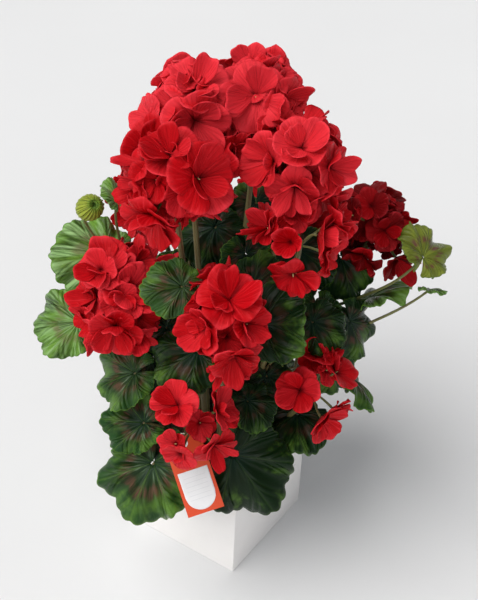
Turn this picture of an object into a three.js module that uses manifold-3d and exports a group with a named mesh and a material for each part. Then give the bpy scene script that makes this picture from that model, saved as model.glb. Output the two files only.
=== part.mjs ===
// Red zonal geranium in a white cube planter, with a hang tag in its front leaves.
// Millimetres, +Z up. The origin is on the ground, below the middle of the planter.
// Places on the plant are given in the plant's own frame: +X right, +Y back, +Z up, as the
// bush is looked at from its front. The whole plant is then turned by PLANT_TURN, so that
// one upright corner of the planter faces the front.
import * as THREE from 'three';
import { mergeVertices } from 'three/addons/utils/BufferGeometryUtils.js';
import Module from 'manifold-3d';

const wasm = await Module();
wasm.setup();

// ---- driving dimensions ----------------------------------------------------------------
const CUBE = 130;              // planter, each side
const WALL = 6;                // planter wall and floor
const GAP = 0.3;               // clearance between pieces that touch
const SLIVER = 0.05;           // edges shorter than this are closed up where pieces are fused
const SOIL_TOP = 116;          // height of the potting filler
const PLANT_TURN = 32.6;       // degrees

const STEM_DEEP = 50;          // height of the stems' cut feet inside the filler
const STEM_RADIUS = 3.0;
const FOOT_RADIUS = 2.2;       // a stem's cut foot, down in its hole
const FOOT_OVERLAP = 1.5;      // length of the foot's end inside the stem
const HOLE_RADIUS = 3.8;       // plain round holes in the filler
const HOLE_SIDES = 7;
const STALK_RADIUS = 1.5;
const STEM_SIDES = 5;
const STALK_SIDES = 4;
const STEM_STEPS = 6;
const STALK_STEPS = 4;
// A stem rises straight for a share of its height at both ends, and leans a share of its lean
// by then. A stalk leaves outward and upward, and arrives from below its leaf.
const STEM_BEND = { straight: 0.35, lowLean: 0.08, highLean: 0.16 };
const STALK_BEND = { outward: 0.35, upward: 0.22, arrival: 0.3 };

const BLADE_THICK = 1.4;       // leaf blade, at its middle
const PETAL_THICK = 1.4;       // floret, at its middle
const LOBES = 7;               // lobes of a leaf
const SINUS = 12;              // degrees, half the gap between a leaf's two base lobes
const PETALS = 5;
// A leaf's form in leaf radii: offset of its outline from the attachment, surface heights,
// outline between and at the lobes' crests, share of the way to its middle ring.
const LEAF = { offset: 0.35, shoulder: 0.2, droop: 0.24, pleat: 0.035, wave: 0.05,
  valley: 0.92, crest: 0.1, middleRing: 0.6, apex: 0.06 };
// A floret's form in its own radii: sunk throat, rise of the surface to the notches between
// petals, least and drawn lift of the petals' tips, their twist, and the petals' corners.
const FLORET = { throat: 0.12, rise: 0.1, lift: 0.04, liftDraw: 0.2, twist: 0.1,
  middleRing: 0.5, corner: 18, notch: 0.72, sizeLeast: 0.94, sizeDraw: 0.12 };

const CORE_SHARE = 0.62;       // radius of a head's core, in reaches of its florets
const HEAD_FLORETS = 8;        // florets in a full head
const FLORET_SPACING = 56;     // degrees between florets that fill the sides not listed
const NEIGHBOUR_CLEAR = 56;    // no filling floret grows this near a neighbouring head's middle
const GOLDEN_TURN = 137.5;     // degrees
const FILLING = { tries: 60, firstRise: 75, fall: 1.9 };
const TUBE_SHARE = 0.8;        // share of a core's radius where its florets' tubes end

const TAG = { width: 36, height: 76, thick: 1.0, chamfer: 9, hole: 2.2, holeDrop: 7,
  at: [-22, -126, 179], rise: 38, roll: 21 };
const STRING = { radius: 0.6, knotHeight: 210, standOff: 5.5, sides: 4, steps: 26 };
// The loop's way: [up the card from its top edge, out of its face], and round the stem as
// [right, back, up], the first two in stand-offs.
const LOOP_FRONT = [[-TAG.holeDrop, 2.6], [2.5, 2.2]];
const LOOP_STEM = [[-0.4, -1.1, 3], [1, -0.3, 2], [0.2, 1, 1], [-1, 0.3, 0]];
const LOOP_BACK = [[2 - TAG.holeDrop, -4], [-TAG.holeDrop, -1.5]];
const TAG_STEM = 'leafy_stem_low_left';

const GREEN = 0x2c5a2a;
const RED = 0xc8141c;
const ORANGE = 0xe2491f;
const CREAM = 0xe9e2cc;

// Heads: middle, reach of the florets' middles, floret width, then the florets that show from
// the front as [heading, rise, reach]. Heading 0 is toward the front and 90 to the right.
const HEADS = [
  { name: 'flower_head_crown_front', at: [-46, -62, 470], reach: 38, width: 62,
    florets: [[38, 30, 42], [-85, 35, 40], [-28, -28, 40], [-15, 68, 40], [100, 0, 36]] },
  { name: 'flower_head_crown_left', at: [-38, 19, 494], reach: 38, width: 60,
    clears: ['flower_head_crown_front'],
    florets: [[20, 70, 38], [-75, 5, 38], [10, 12, 38], [-110, 45, 36]] },
  { name: 'flower_head_crown_top', at: [24, 38, 499], reach: 38, width: 62,
    clears: ['flower_head_crown_left'],
    florets: [[-5, 28, 38], [-100, 70, 36], [45, 12, 42], [100, 40, 36], [-42, -24, 40]] },
  { name: 'flower_head_crown_right', at: [63, -28, 470], reach: 34, width: 50,
    clears: ['flower_head_crown_front', 'flower_head_crown_top'],
    florets: [[-55, 22, 36], [-5, 55, 38], [45, 20, 38], [40, -28, 36], [-10, -8, 34]] },
  { name: 'flower_head_left', at: [-98, -42, 322], reach: 38, width: 54,
    florets: [[-40, 72, 44], [-55, 22, 36], [25, 45, 40], [0, -2, 44], [-50, -32, 36], [32, -30, 38]] },
  { name: 'flower_head_front', at: [2, -110, 358], reach: 36, width: 50, count: 7,
    florets: [[10, 65, 42], [-40, 15, 30], [42, 22, 34], [0, -5, 44], [20, -55, 42]] },
  { name: 'flower_head_right', at: [66, -60, 410], reach: 36, width: 44, core: 0.4, count: 6,
    clears: ['flower_head_crown_right'],
    florets: [[-150, 65, 32], [-80, 30, 36], [-18, 32, 38], [-10, -20, 38], [70, 8, 34]] },
  { name: 'flower_head_far_right', at: [145, 60, 345], reach: 36, width: 42, count: 7,
    florets: [[-110, 70, 38], [85, 30, 36], [-75, 25, 36], [35, -25, 40], [-25, -25, 38],
      [10, 30, 38]] },
  { name: 'flower_head_low_left', at: [-23, -112, 238], reach: 34, width: 46, core: 0.45, count: 4,
    florets: [[-35, 42, 42], [80, 22, 36], [35, -12, 36], [-15, -12, 42]] },
  { name: 'flower_head_low_right', at: [87, -66, 243], reach: 34, width: 46, core: 0.45, count: 4,
    florets: [[-25, 34, 40], [150, 75, 34], [85, 45, 36], [40, -30, 36]] },
  { name: 'flower_head_back_left', at: [-72, 112, 330], reach: 36, width: 52,
    florets: [[180, 30, 38], [-100, 20, 36]] },
  { name: 'flower_head_back_right', at: [70, 124, 312], reach: 36, width: 52,
    florets: [[170, 25, 38], [100, 25, 36]] },
];

// Leafy stems: foot in the filler, the head that the stem carries (or its own top), and its
// leaves as [attachment, heading, pitch, bank, radius, height on the stem where it starts].
const STEMS = [
  { name: 'leafy_stem_crown_front', foot: [-14, -20], head: 'flower_head_crown_front',
    leaves: [[[-41, -90, 362], -85, -8, 50, 29, 275]] },
  { name: 'leafy_stem_crown_left', foot: [-14, 4], head: 'flower_head_crown_left',
    leaves: [[[-14, 50, 338], 180, 30, 0, 32, 235]] },
  { name: 'leafy_stem_crown_top', foot: [4, 18], head: 'flower_head_crown_top',
    leaves: [[[0, 72, 280], -172, -12, 0, 32, 205], [[30, 64, 336], 160, 30, 0, 30, 240]] },
  { name: 'leafy_stem_crown_right', foot: [14, 2], head: 'flower_head_crown_right', bow: [-8, 36],
    leaves: [[[28, -34, 338], 170, 42, 20, 25, 250]] },
  { name: 'leafy_stem_left', foot: [-33, -12], head: 'flower_head_left',
    leaves: [[[-82, -65, 248], -89, -30, 33, 33, 180], [[-138, -24, 264], -93, -32, 43, 37, 205]] },
  { name: 'leafy_stem_front', foot: [0, -36], head: 'flower_head_front',
    leaves: [[[-22, -82, 296], -66, -28, 28, 36, 200], [[38, -75, 326], 47, 28, -63, 38, 215]] },
  { name: 'leafy_stem_right', foot: [24, -22], head: 'flower_head_right',
    leaves: [[[84, -40, 302], 66, -20, -38, 26, 225]] },
  { name: 'leafy_stem_far_right', foot: [36, 18], head: 'flower_head_far_right',
    leaves: [[[126, 38, 280], 128, -8, 16, 34, 215], [[187, 10, 346], 137, 43, -33, 27, 250],
      [[104, 40, 196], 98, -38, 0, 36, 150]] },
  { name: 'leafy_stem_low_left', foot: [-20, -40], head: 'flower_head_low_left',
    leaves: [[[-66, -95, 191], -103, -16, 53, 36, 150], [[-62, -104, 171], -34, -52, 12, 46, 140]] },
  { name: 'leafy_stem_low_right', foot: [38, -34], head: 'flower_head_low_right',
    leaves: [[[76, -52, 194], 0, -12, 0, 34, 160]] },
  { name: 'leafy_stem_back_left', foot: [-20, 38], head: 'flower_head_back_left',
    leaves: [[[-60, 98, 230], -150, -25, 0, 40, 170], [[-112, 60, 250], -115, -20, 0, 38, 190],
      [[-88, 36, 176], -100, -42, 0, 36, 145]] },
  { name: 'leafy_stem_back_right', foot: [20, 42], head: 'flower_head_back_right',
    leaves: [[[36, 112, 205], 178, -30, 0, 42, 160], [[104, 82, 215], 125, -25, 0, 40, 175]] },
  { name: 'leafy_stem_tall_left', foot: [-36, 12], top: [-86, 26, 286],
    leaves: [[[-121, 26, 312], -110, -10, 31, 41, 265], [[-108, 10, 398], -142, 26, 19, 16, 282]],
    ball: [[-130, 12, 386], 13, 285] },
  { name: 'leafy_stem_low_front', foot: [12, -46], top: [14, -80, 190],
    leaves: [[[16, -102, 186], 61, -36, -40, 49, 172], [[26, -80, 234], 50, -28, -17, 24, 180]] },
  { name: 'leafy_stem_tall_right', foot: [44, -8], top: [90, 2, 236],
    leaves: [[[100, 0, 262], 86, -34, -35, 38, 225], [[130, 0, 190], 88, -65, -37, 30, 195],
      [[188, 26, 292], 76, 4, 18, 17, 230]] },
];

// ---- solids ----------------------------------------------------------------------------
const UP = new THREE.Vector3(0, 0, 1);
const vector = (p) => new THREE.Vector3(...p);
const radians = THREE.MathUtils.degToRad;

/** A draw from 0 to 1 that depends only on its two numbers. */
function draw(a, b) {
  const x = Math.sin(a * 12.9898 + b * 78.233) * 43758.5453;
  return x - Math.floor(x);
}

function solid(geometry) {
  const bare = geometry.index ? geometry.clone() : geometry;
  bare.deleteAttribute('normal');
  bare.deleteAttribute('uv');
  const merged = mergeVertices(bare, 1e-4);
  return new wasm.Manifold(new wasm.Mesh({
    numProp: 3,
    vertProperties: new Float32Array(merged.attributes.position.array),
    triVerts: new Uint32Array(merged.index.array),
  }));
}

function geometryOf(manifold) {
  const { vertProperties, triVerts } = manifold.getMesh();
  const geometry = new THREE.BufferGeometry();
  geometry.setAttribute('position', new THREE.BufferAttribute(new Float32Array(vertProperties), 3));
  geometry.setIndex(new THREE.BufferAttribute(new Uint32Array(triVerts), 1));
  geometry.computeVertexNormals();
  return geometry;
}

/** Join solids and keep the largest body, so that no loose scrap or sliver is left. */
function fuse(solids) {
  const bodies = wasm.Manifold.union(solids).decompose();
  const largest = bodies.reduce((best, body) => (body.volume() > best.volume() ? body : best));
  return largest.simplify(SLIVER);
}

function namedMesh(name, geometry, color, roughness) {
  const material = new THREE.MeshStandardMaterial({ color, roughness, metalness: 0 });
  const mesh = new THREE.Mesh(geometry, material);
  mesh.name = name;
  return mesh;
}

function tube(curve, radius, sides, steps) {
  const section = new THREE.Shape();
  for (let i = 0; i < sides; i += 1) {
    const angle = (2 * Math.PI * i) / sides;
    const [x, y] = [radius * Math.cos(angle), radius * Math.sin(angle)];
    if (i === 0) section.moveTo(x, y);
    else section.lineTo(x, y);
  }
  section.closePath();
  return solid(new THREE.ExtrudeGeometry(section, { extrudePath: curve, steps, curveSegments: 1 }));
}

function block(width, depth, height, bottom) {
  return new THREE.BoxGeometry(width, depth, height).translate(0, 0, bottom + height / 2);
}

/**
 * A thin waved blade as a closed solid. rings[0] is its middle point, the last ring its edge.
 * A ring is a list of points of the middle surface, and halves gives each ring's half
 * thickness. Both faces are split into the same triangles. A zero half at the edge makes one
 * shared, sharp edge. shape is a list of triangles as [ring, index] corners.
 */
function blade(rings, halves, shape, deepMiddle = 0) {
  const points = [];
  const place = (ring, index, side) => {
    const [x, y, z] = rings[ring][index];
    const drop = ring === 0 && side < 0 ? deepMiddle : 0;
    points.push(x, y, z + side * halves[ring] - drop);
  };
  const edge = rings.length - 1;
  for (const side of [1, -1]) {
    for (const [a, b, c] of shape) {
      const corners = side > 0 ? [a, b, c] : [a, c, b];
      corners.forEach(([ring, index]) => place(ring, index, side));
    }
  }
  if (halves[edge] > 0) {
    const count = rings[edge].length;
    for (let i = 0; i < count; i += 1) {
      const j = (i + 1) % count;
      [[i, 1], [i, -1], [j, -1], [i, 1], [j, -1], [j, 1]].forEach(([k, side]) => place(edge, k, side));
    }
  }
  const geometry = new THREE.BufferGeometry();
  geometry.setAttribute('position', new THREE.BufferAttribute(new Float32Array(points), 3));
  return geometry;
}

/** Triangles between an inner ring and an edge ring with a whole number of edge steps each. */
function fan(innerCount, edgeCount) {
  const shape = [];
  const share = edgeCount / innerCount;
  for (let i = 0; i < innerCount; i += 1) {
    const next = (i + 1) % innerCount;
    shape.push([[0, 0], [1, i], [1, next]]);
    const turnAt = Math.ceil(share / 2);
    for (let k = 0; k < share; k += 1) {
      const e = i * share + k;
      const owner = k < turnAt ? i : next;
      shape.push([[1, owner], [2, e % edgeCount], [2, (e + 1) % edgeCount]]);
      if (k === turnAt - 1) shape.push([[1, i], [2, (e + 1) % edgeCount], [1, next]]);
    }
  }
  return shape;
}

// ---- leaves ----------------------------------------------------------------------------
/** Distance from the attachment to the outline, without lobes, in leaf radii. */
function outline(angle) {
  return LEAF.offset * Math.cos(angle) + Math.sqrt(1 - (LEAF.offset * Math.sin(angle)) ** 2);
}

/** Height of a leaf's surface in leaf radii: a raised shoulder, pleats and a waved margin. */
function leafHeight(share, angle, lobe, phase) {
  const shoulder = LEAF.shoulder * share - LEAF.droop * share ** 2;
  const pleat = -LEAF.pleat * share * Math.cos(2 * Math.PI * lobe);
  const wave = LEAF.wave * share ** 2 * Math.sin(2 * angle + phase);
  return shoulder + pleat + wave;
}

function leafBlade(radius, seed) {
  const span = 2 * (Math.PI - radians(SINUS));
  const phase = 2 * Math.PI * draw(seed, 1);
  const point = (share, step, steps) => {
    const angle = -span / 2 + (span * step) / steps;
    const lobe = (LOBES * step) / steps;
    const crest = 0.5 - 0.5 * Math.cos(2 * Math.PI * lobe);
    const reach = share * outline(angle) * (LEAF.valley + LEAF.crest * Math.sqrt(crest));
    const height = leafHeight(reach, angle, lobe, phase);
    return [radius * reach * Math.cos(angle), radius * reach * Math.sin(angle), radius * height];
  };
  const half = BLADE_THICK / 2;
  const inner = LOBES;
  const edge = 4 * LOBES;
  const apex = [-LEAF.apex * radius, 0, 0];
  const middle = Array.from({ length: inner + 1 }, (_, i) => point(LEAF.middleRing, i, inner));
  const margin = Array.from({ length: edge + 1 }, (_, i) => point(1, i, edge));
  const shape = [];
  for (let i = 0; i < inner; i += 1) {
    const e = 4 * i;
    shape.push([[0, 0], [1, i], [1, i + 1]]);
    shape.push([[1, i], [2, e], [2, e + 1]]);
    shape.push([[1, i], [2, e + 1], [2, e + 2]]);
    shape.push([[1, i], [2, e + 2], [1, i + 1]]);
    shape.push([[1, i + 1], [2, e + 2], [2, e + 3]]);
    shape.push([[1, i + 1], [2, e + 3], [2, e + 4]]);
  }
  shape.push([[0, 0], [1, inner], [2, edge + 1]]);
  shape.push([[1, inner], [2, edge], [2, edge + 1]]);
  shape.push([[0, 0], [2, edge + 1], [1, 0]]);
  shape.push([[1, 0], [2, edge + 1], [2, 0]]);
  return solid(blade([[[0, 0, 0]], middle, [...margin, apex]], [half, half, 0], shape));
}

/** The frame of a leaf: X to its tip, Z out of its upper face. */
function leafFrame(at, heading, pitch, bank) {
  const [h, p, b] = [heading, pitch, bank].map(radians);
  const tip = new THREE.Vector3(Math.cos(p) * Math.sin(h), -Math.cos(p) * Math.cos(h), Math.sin(p));
  const side = UP.clone().cross(tip).normalize();
  const flat = tip.clone().cross(side);
  const face = flat.multiplyScalar(Math.cos(b)).addScaledVector(side, Math.sin(b));
  const across = face.clone().cross(tip);
  const matrix = new THREE.Matrix4().makeBasis(tip, across, face).setPosition(...at);
  return { matrix, tip, face };
}

/** The still rolled young leaf: a pleated ball. */
function youngLeaf(at, radius) {
  const ball = new THREE.IcosahedronGeometry(radius, 1);
  ball.scale(1, 1, 0.92).translate(...at);
  return solid(ball);
}

// ---- stems -----------------------------------------------------------------------------
function stemCurve(stem) {
  const head = HEADS.find((one) => one.name === stem.head);
  const end = head ? vector(head.at) : vector(stem.top);
  const foot = new THREE.Vector3(...stem.foot, SOIL_TOP);
  const rise = end.z - foot.z;
  const lean = end.clone().sub(foot).setZ(0);
  const straight = rise * STEM_BEND.straight;
  const low = foot.clone().addScaledVector(UP, straight).addScaledVector(lean, STEM_BEND.lowLean);
  const high = end.clone().addScaledVector(UP, -straight).addScaledVector(lean, -STEM_BEND.highLean);
  if (stem.bow) high.add(new THREE.Vector3(...stem.bow, 0));
  return new THREE.CubicBezierCurve3(foot, low, high, end);
}

function pointAtHeight(curve, height) {
  const points = curve.getPoints(200);
  return points.find((point) => point.z >= height) ?? points[points.length - 1];
}

function stalkCurve(start, end, arrival) {
  const span = start.distanceTo(end);
  const outward = end.clone().sub(start).setZ(0).multiplyScalar(STALK_BEND.outward);
  const leave = start.clone().add(outward).addScaledVector(UP, span * STALK_BEND.upward);
  const arrive = end.clone().addScaledVector(arrival, -span * STALK_BEND.arrival);
  return new THREE.CubicBezierCurve3(start, leave, arrive, end);
}

function leafyStem(stem, number) {
  const curve = stemCurve(stem);
  const footing = new THREE.LineCurve3(
    new THREE.Vector3(...stem.foot, STEM_DEEP),
    new THREE.Vector3(...stem.foot, SOIL_TOP + FOOT_OVERLAP),
  );
  const solids = [
    tube(footing, FOOT_RADIUS, STEM_SIDES, 1),
    tube(curve, STEM_RADIUS, STEM_SIDES, STEM_STEPS),
  ];
  stem.leaves.forEach(([at, heading, pitch, bank, radius, from], i) => {
    const { matrix, tip, face } = leafFrame(at, heading, pitch, bank);
    const seed = 10 * number + i;
    solids.push(leafBlade(radius, seed).transform(matrix.elements));
    const end = vector(at).addScaledVector(tip, LEAF.apex * radius);
    const arrival = tip.clone().add(face).normalize();
    const start = pointAtHeight(curve, from);
    solids.push(tube(stalkCurve(start, end, arrival), STALK_RADIUS, STALK_SIDES, STALK_STEPS));
  });
  if (stem.ball) {
    const [at, radius, from] = stem.ball;
    const start = pointAtHeight(curve, from);
    solids.push(tube(stalkCurve(start, vector(at), UP), STALK_RADIUS, STALK_SIDES, STALK_STEPS));
    solids.push(youngLeaf(at, radius));
  }
  return { name: stem.name, body: fuse(solids), curve };
}

// ---- flower heads ----------------------------------------------------------------------
function direction(heading, rise) {
  const [h, r] = [heading, rise].map(radians);
  return new THREE.Vector3(Math.cos(r) * Math.sin(h), -Math.cos(r) * Math.cos(h), Math.sin(r));
}

/** The listed florets of a head, then more on its open sides, each as [direction, reach]. */
function floretPlaces(head) {
  const places = head.florets.map(([heading, rise, reach]) => [direction(heading, rise), reach]);
  const middle = vector(head.at);
  const others = HEADS.filter((one) => one !== head).map((one) => vector(one.at));
  const wanted = head.count ?? HEAD_FLORETS;
  for (let i = 0; i < FILLING.tries && places.length < wanted; i += 1) {
    const candidate = direction(GOLDEN_TURN * i, FILLING.firstRise - FILLING.fall * i);
    const tip = middle.clone().addScaledVector(candidate, head.reach);
    const crowded = places.some(([other]) => other.angleTo(candidate) < radians(FLORET_SPACING));
    const blocked = others.some((other) => other.distanceTo(tip) < NEIGHBOUR_CLEAR);
    if (!crowded && !blocked) places.push([candidate, head.reach]);
  }
  return places;
}

/** One floret: five broad notched petals round a throat, with a tapered tube down to the core. */
function floret(width, depth, seed, grow) {
  const radius = width / 2 + grow;
  const half = PETAL_THICK / 2 + grow;
  const petalTurn = 360 / PETALS;
  const middle = [];
  const margin = [];
  for (let k = 0; k < PETALS; k += 1) {
    const turn = petalTurn * k;
    const lift = FLORET.lift + FLORET.liftDraw * draw(seed, k);
    const twist = FLORET.twist * (draw(seed, k + 9) - 0.5);
    const at = (angle, reach, height) => {
      const a = radians(turn + angle);
      return [radius * reach * Math.cos(a), radius * reach * Math.sin(a), radius * height];
    };
    middle.push(at(0, FLORET.middleRing, FLORET.rise + 0.2 * lift));
    margin.push(at(FLORET.corner, 1, lift + twist));
    margin.push(at(petalTurn / 2, FLORET.notch, FLORET.rise));
    margin.push(at(petalTurn - FLORET.corner, 1, lift - twist));
  }
  const middlePoint = [[0, 0, -FLORET.throat * radius]];
  const shape = fan(PETALS, margin.length);
  return solid(blade([middlePoint, middle, margin], [half, half, grow], shape, depth));
}

function headBody(head, number, grow = 0) {
  const share = head.core ?? CORE_SHARE;
  const coreRadius = share * head.reach;
  const core = new THREE.IcosahedronGeometry(coreRadius + grow, 0).translate(...head.at);
  const solids = [solid(core)];
  floretPlaces(head).forEach(([axis, reach], i) => {
    const seed = 100 * number + 10 * i;
    const width = head.width * (FLORET.sizeLeast + FLORET.sizeDraw * draw(seed, 20));
    const depth = reach - coreRadius * TUBE_SHARE;
    const turn = new THREE.Quaternion().setFromUnitVectors(UP, axis);
    const spin = new THREE.Quaternion().setFromAxisAngle(UP, 2 * Math.PI * draw(seed, 21));
    const at = vector(head.at).addScaledVector(axis, reach);
    const matrix = new THREE.Matrix4().compose(at, turn.multiply(spin), new THREE.Vector3(1, 1, 1));
    solids.push(floret(width, depth, seed, grow).transform(matrix.elements));
  });
  return fuse(solids);
}

/** The room that a stem takes, with clearance all round it and past its end. */
function stemRoom(curve) {
  const end = curve.getPoint(1);
  const ahead = curve.getTangent(1);
  const cap = new THREE.LineCurve3(
    end.clone().addScaledVector(ahead, -STEM_RADIUS),
    end.clone().addScaledVector(ahead, 2 * GAP),
  );
  const radius = STEM_RADIUS + 2 * GAP;
  return tube(curve, radius, STEM_SIDES, STEM_STEPS).add(tube(cap, radius, STEM_SIDES, 1));
}

// ---- hang tag --------------------------------------------------------------------------
/** The tag's frame: X along its foot, Y up the card, Z out of its face. */
function tagFrame() {
  const face = direction(0, TAG.rise);
  const level = new THREE.Vector3(1, 0, 0);
  const upward = face.clone().cross(level);
  const roll = radians(TAG.roll);
  const across = level.clone().multiplyScalar(Math.cos(roll)).addScaledVector(upward, Math.sin(roll));
  const along = face.clone().cross(across);
  return new THREE.Matrix4().makeBasis(across, along, face).setPosition(...TAG.at);
}

function tagCard() {
  const [x, y, c] = [TAG.width / 2, TAG.height / 2, TAG.chamfer];
  const corners = [[-x, -y], [x, -y], [x, y - c], [x - c, y], [c - x, y], [-x, y - c]];
  const card = new THREE.Shape(corners.map((corner) => new THREE.Vector2(...corner)));
  const hole = new THREE.Path().absarc(0, y - TAG.holeDrop, TAG.hole, 0, 2 * Math.PI, true);
  card.holes.push(hole);
  const settings = { depth: TAG.thick, bevelEnabled: false, curveSegments: 10 };
  return new THREE.ExtrudeGeometry(card, settings).applyMatrix4(tagFrame());
}

/** A closed loop through the tag's hole, over its top edge and round a stem. */
function tagString(curve) {
  const frame = tagFrame();
  const onCard = ([y, z]) => new THREE.Vector3(0, TAG.height / 2 + y, z).applyMatrix4(frame);
  const round = ([x, y, z]) => pointAtHeight(curve, STRING.knotHeight + z).clone()
    .add(new THREE.Vector3(x * STRING.standOff, y * STRING.standOff, 0));
  const points = [...LOOP_FRONT.map(onCard), ...LOOP_STEM.map(round), ...LOOP_BACK.map(onCard)];
  const loop = new THREE.CatmullRomCurve3(points, true, 'centripetal');
  return new THREE.TubeGeometry(loop, STRING.steps, STRING.radius, STRING.sides, true);
}

// ---- planter and filler ----------------------------------------------------------------
function planterBox() {
  const outside = solid(block(CUBE, CUBE, CUBE, 0));
  const inside = solid(block(CUBE - 2 * WALL, CUBE - 2 * WALL, CUBE, WALL));
  return geometryOf(outside.subtract(inside));
}

function pottingFiller(turn) {
  const side = CUBE - 2 * WALL - 2 * GAP;
  let filler = solid(block(side, side, SOIL_TOP - WALL - GAP, WALL + GAP));
  for (const stem of STEMS) {
    const depth = CUBE - STEM_DEEP;
    const hole = new THREE.CylinderGeometry(HOLE_RADIUS, HOLE_RADIUS, depth, HOLE_SIDES);
    hole.rotateX(Math.PI / 2).translate(...stem.foot, STEM_DEEP - GAP + depth / 2).applyMatrix4(turn);
    filler = filler.subtract(solid(hole));
  }
  return geometryOf(filler);
}

// ---- the object ------------------------------------------------------------------------
const geranium = new THREE.Group();
const plant = new THREE.Group();
plant.rotation.z = radians(PLANT_TURN);
plant.updateMatrix();
geranium.add(plant);

geranium.add(namedMesh('planter_box', planterBox(), 0xf2f1ee, 0.35));
geranium.add(namedMesh('potting_filler', pottingFiller(plant.matrix), 0x2b201a, 0.95));

const stems = STEMS.map(leafyStem);
const heads = new Map();
HEADS.forEach((head, number) => {
  let body = headBody(head, number);
  for (const other of head.clears ?? []) {
    const index = HEADS.findIndex((one) => one.name === other);
    body = body.subtract(headBody(HEADS[index], index, GAP));
  }
  const carrier = STEMS.findIndex((stem) => stem.head === head.name);
  body = body.subtract(stemRoom(stems[carrier].curve));
  heads.set(head.name, fuse([body]));
});

stems.forEach(({ name, body }, i) => {
  const head = STEMS[i].head;
  plant.add(namedMesh(name, geometryOf(body), GREEN, 0.6));
  if (head) plant.add(namedMesh(head, geometryOf(heads.get(head)), RED, 0.75));
});

const tagStem = stems.find(({ name }) => name === TAG_STEM);
plant.add(namedMesh('hang_tag', tagCard(), ORANGE, 0.55));
plant.add(namedMesh('tag_string', tagString(tagStem.curve), CREAM, 0.8));

export default geranium;
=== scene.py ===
"""A red geranium in a white cube planter, with a hang tag in its front leaves.

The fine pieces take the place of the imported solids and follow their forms, except that some
leaves and florets stand up to 20 mm away or are turned. Lengths in the tables below are
millimetres in the plant's own frame: +X right, +Y back, +Z up, as the bush is looked at from its
front. The whole plant is then turned about the upright axis, so that one corner of the planter
leads.
"""
import math

import bmesh
import bpy
import numpy as np
from bpy.props import FloatProperty, FloatVectorProperty, IntProperty, PointerProperty
from bpy.types import Operator, Panel, PropertyGroup
from mathutils import Matrix, Vector, noise


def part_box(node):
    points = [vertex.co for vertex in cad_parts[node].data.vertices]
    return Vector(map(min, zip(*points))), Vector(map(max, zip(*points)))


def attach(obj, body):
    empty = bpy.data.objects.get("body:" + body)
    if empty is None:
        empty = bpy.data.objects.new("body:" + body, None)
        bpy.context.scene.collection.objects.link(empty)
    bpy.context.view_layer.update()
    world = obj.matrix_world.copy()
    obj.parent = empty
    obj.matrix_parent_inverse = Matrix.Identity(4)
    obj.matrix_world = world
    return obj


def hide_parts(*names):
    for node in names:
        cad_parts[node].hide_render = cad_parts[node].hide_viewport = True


bl_info = {
    "name": "Potted Geranium",
    "version": (1, 0, 0),
    "blender": (4, 5, 0),
    "location": "View3D > Sidebar > Geranium",
    "description": "Dresses the packed geranium with fine leaves, petals, bark and a hang tag",
    "category": "Object",
}

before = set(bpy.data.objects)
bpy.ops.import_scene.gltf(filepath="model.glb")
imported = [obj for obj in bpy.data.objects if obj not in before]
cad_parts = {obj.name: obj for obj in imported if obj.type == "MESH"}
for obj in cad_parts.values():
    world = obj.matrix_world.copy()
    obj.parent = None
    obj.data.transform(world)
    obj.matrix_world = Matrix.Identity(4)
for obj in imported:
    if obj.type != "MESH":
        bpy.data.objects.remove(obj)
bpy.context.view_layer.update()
PLANTER_LOW, PLANTER_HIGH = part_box("planter_box")
FILLER_LOW, FILLER_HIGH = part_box("potting_filler")

MM = 0.001
PLANT_TURN = math.radians(32.6)
TO_FRAME = Matrix.Rotation(PLANT_TURN, 4, "Z") @ Matrix.Scale(MM, 4)
UP = Vector((0, 0, 1))

# Stems and stalks: where they start, how thick they are, and how they bend between their ends.
SOIL_TOP = 116
STEM_RADIUS = 3.0
STALK_RADIUS = 1.5
STEM_BEND = {"straight": 0.35, "low_lean": 0.08, "high_lean": 0.16}
STALK_BEND = {"outward": 0.35, "upward": 0.22, "arrival": 0.3}
STEM_TAPER = (1.04, 0.86)
BURIED = (30, 12)              # depths of a stem's first points under the filler's top
KNOT = {"girth": 0.9, "length": 4.5}       # the swelling where a leaf's stalk starts
SMOOTH_STEPS, STEM_STEPS = 200, 44         # steps for finding a height, and for the tube

# Leaves: half the gap at the stalk, lobes, and how far off the middle the stalk is attached.
SINUS = math.radians(12)
LOBES = 7
LEAF_OFFSET = 0.35

# Florets: their petals, and how far those that are filled in keep from other florets and heads.
PETALS = 5
FLORET_SPACING = math.radians(56)
NEIGHBOUR_CLEAR = 56
FACING_UP = 0.8                # florets that face up more than this have no inner petals
INNER_PETAL_TURN = math.radians(112)
GOLDEN_TURN = 137.5
BARE_THROATS = 0.6             # share of the florets without a pin in the throat
# Florets deeper in a head: share of its reach, their number, degrees that they keep from the
# outer ones, and share of its floret width.
INNER_SHELLS = ((0.74, 26, 27, 0.34), (0.42, 12, 0, 0.30))
# Order of the materials on a leafy stem and on a flower head.
SHEET, STALK, PIN = 0, 1, 2

# The filler's top: half width, how far it is sunk, its fall at the walls, the chips' square.
BARK = {"half_width": 58.7, "sunk": 1.8, "edge_drop": 1.5, "chips_within": 104}

# The tag, its string, ring and panel.
TAG = {"width": 36, "height": 76, "thick": 1.0, "chamfer": 9, "hole": 2.2, "hole_drop": 7,
       "at": (-22, -126, 179), "rise": 38, "roll": 21}
STRING = {"stem": "low_left", "knot_height": 210, "stand_off": 5.5,
          "ply": 0.36, "ply_out": 0.30, "twists": 22}
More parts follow.
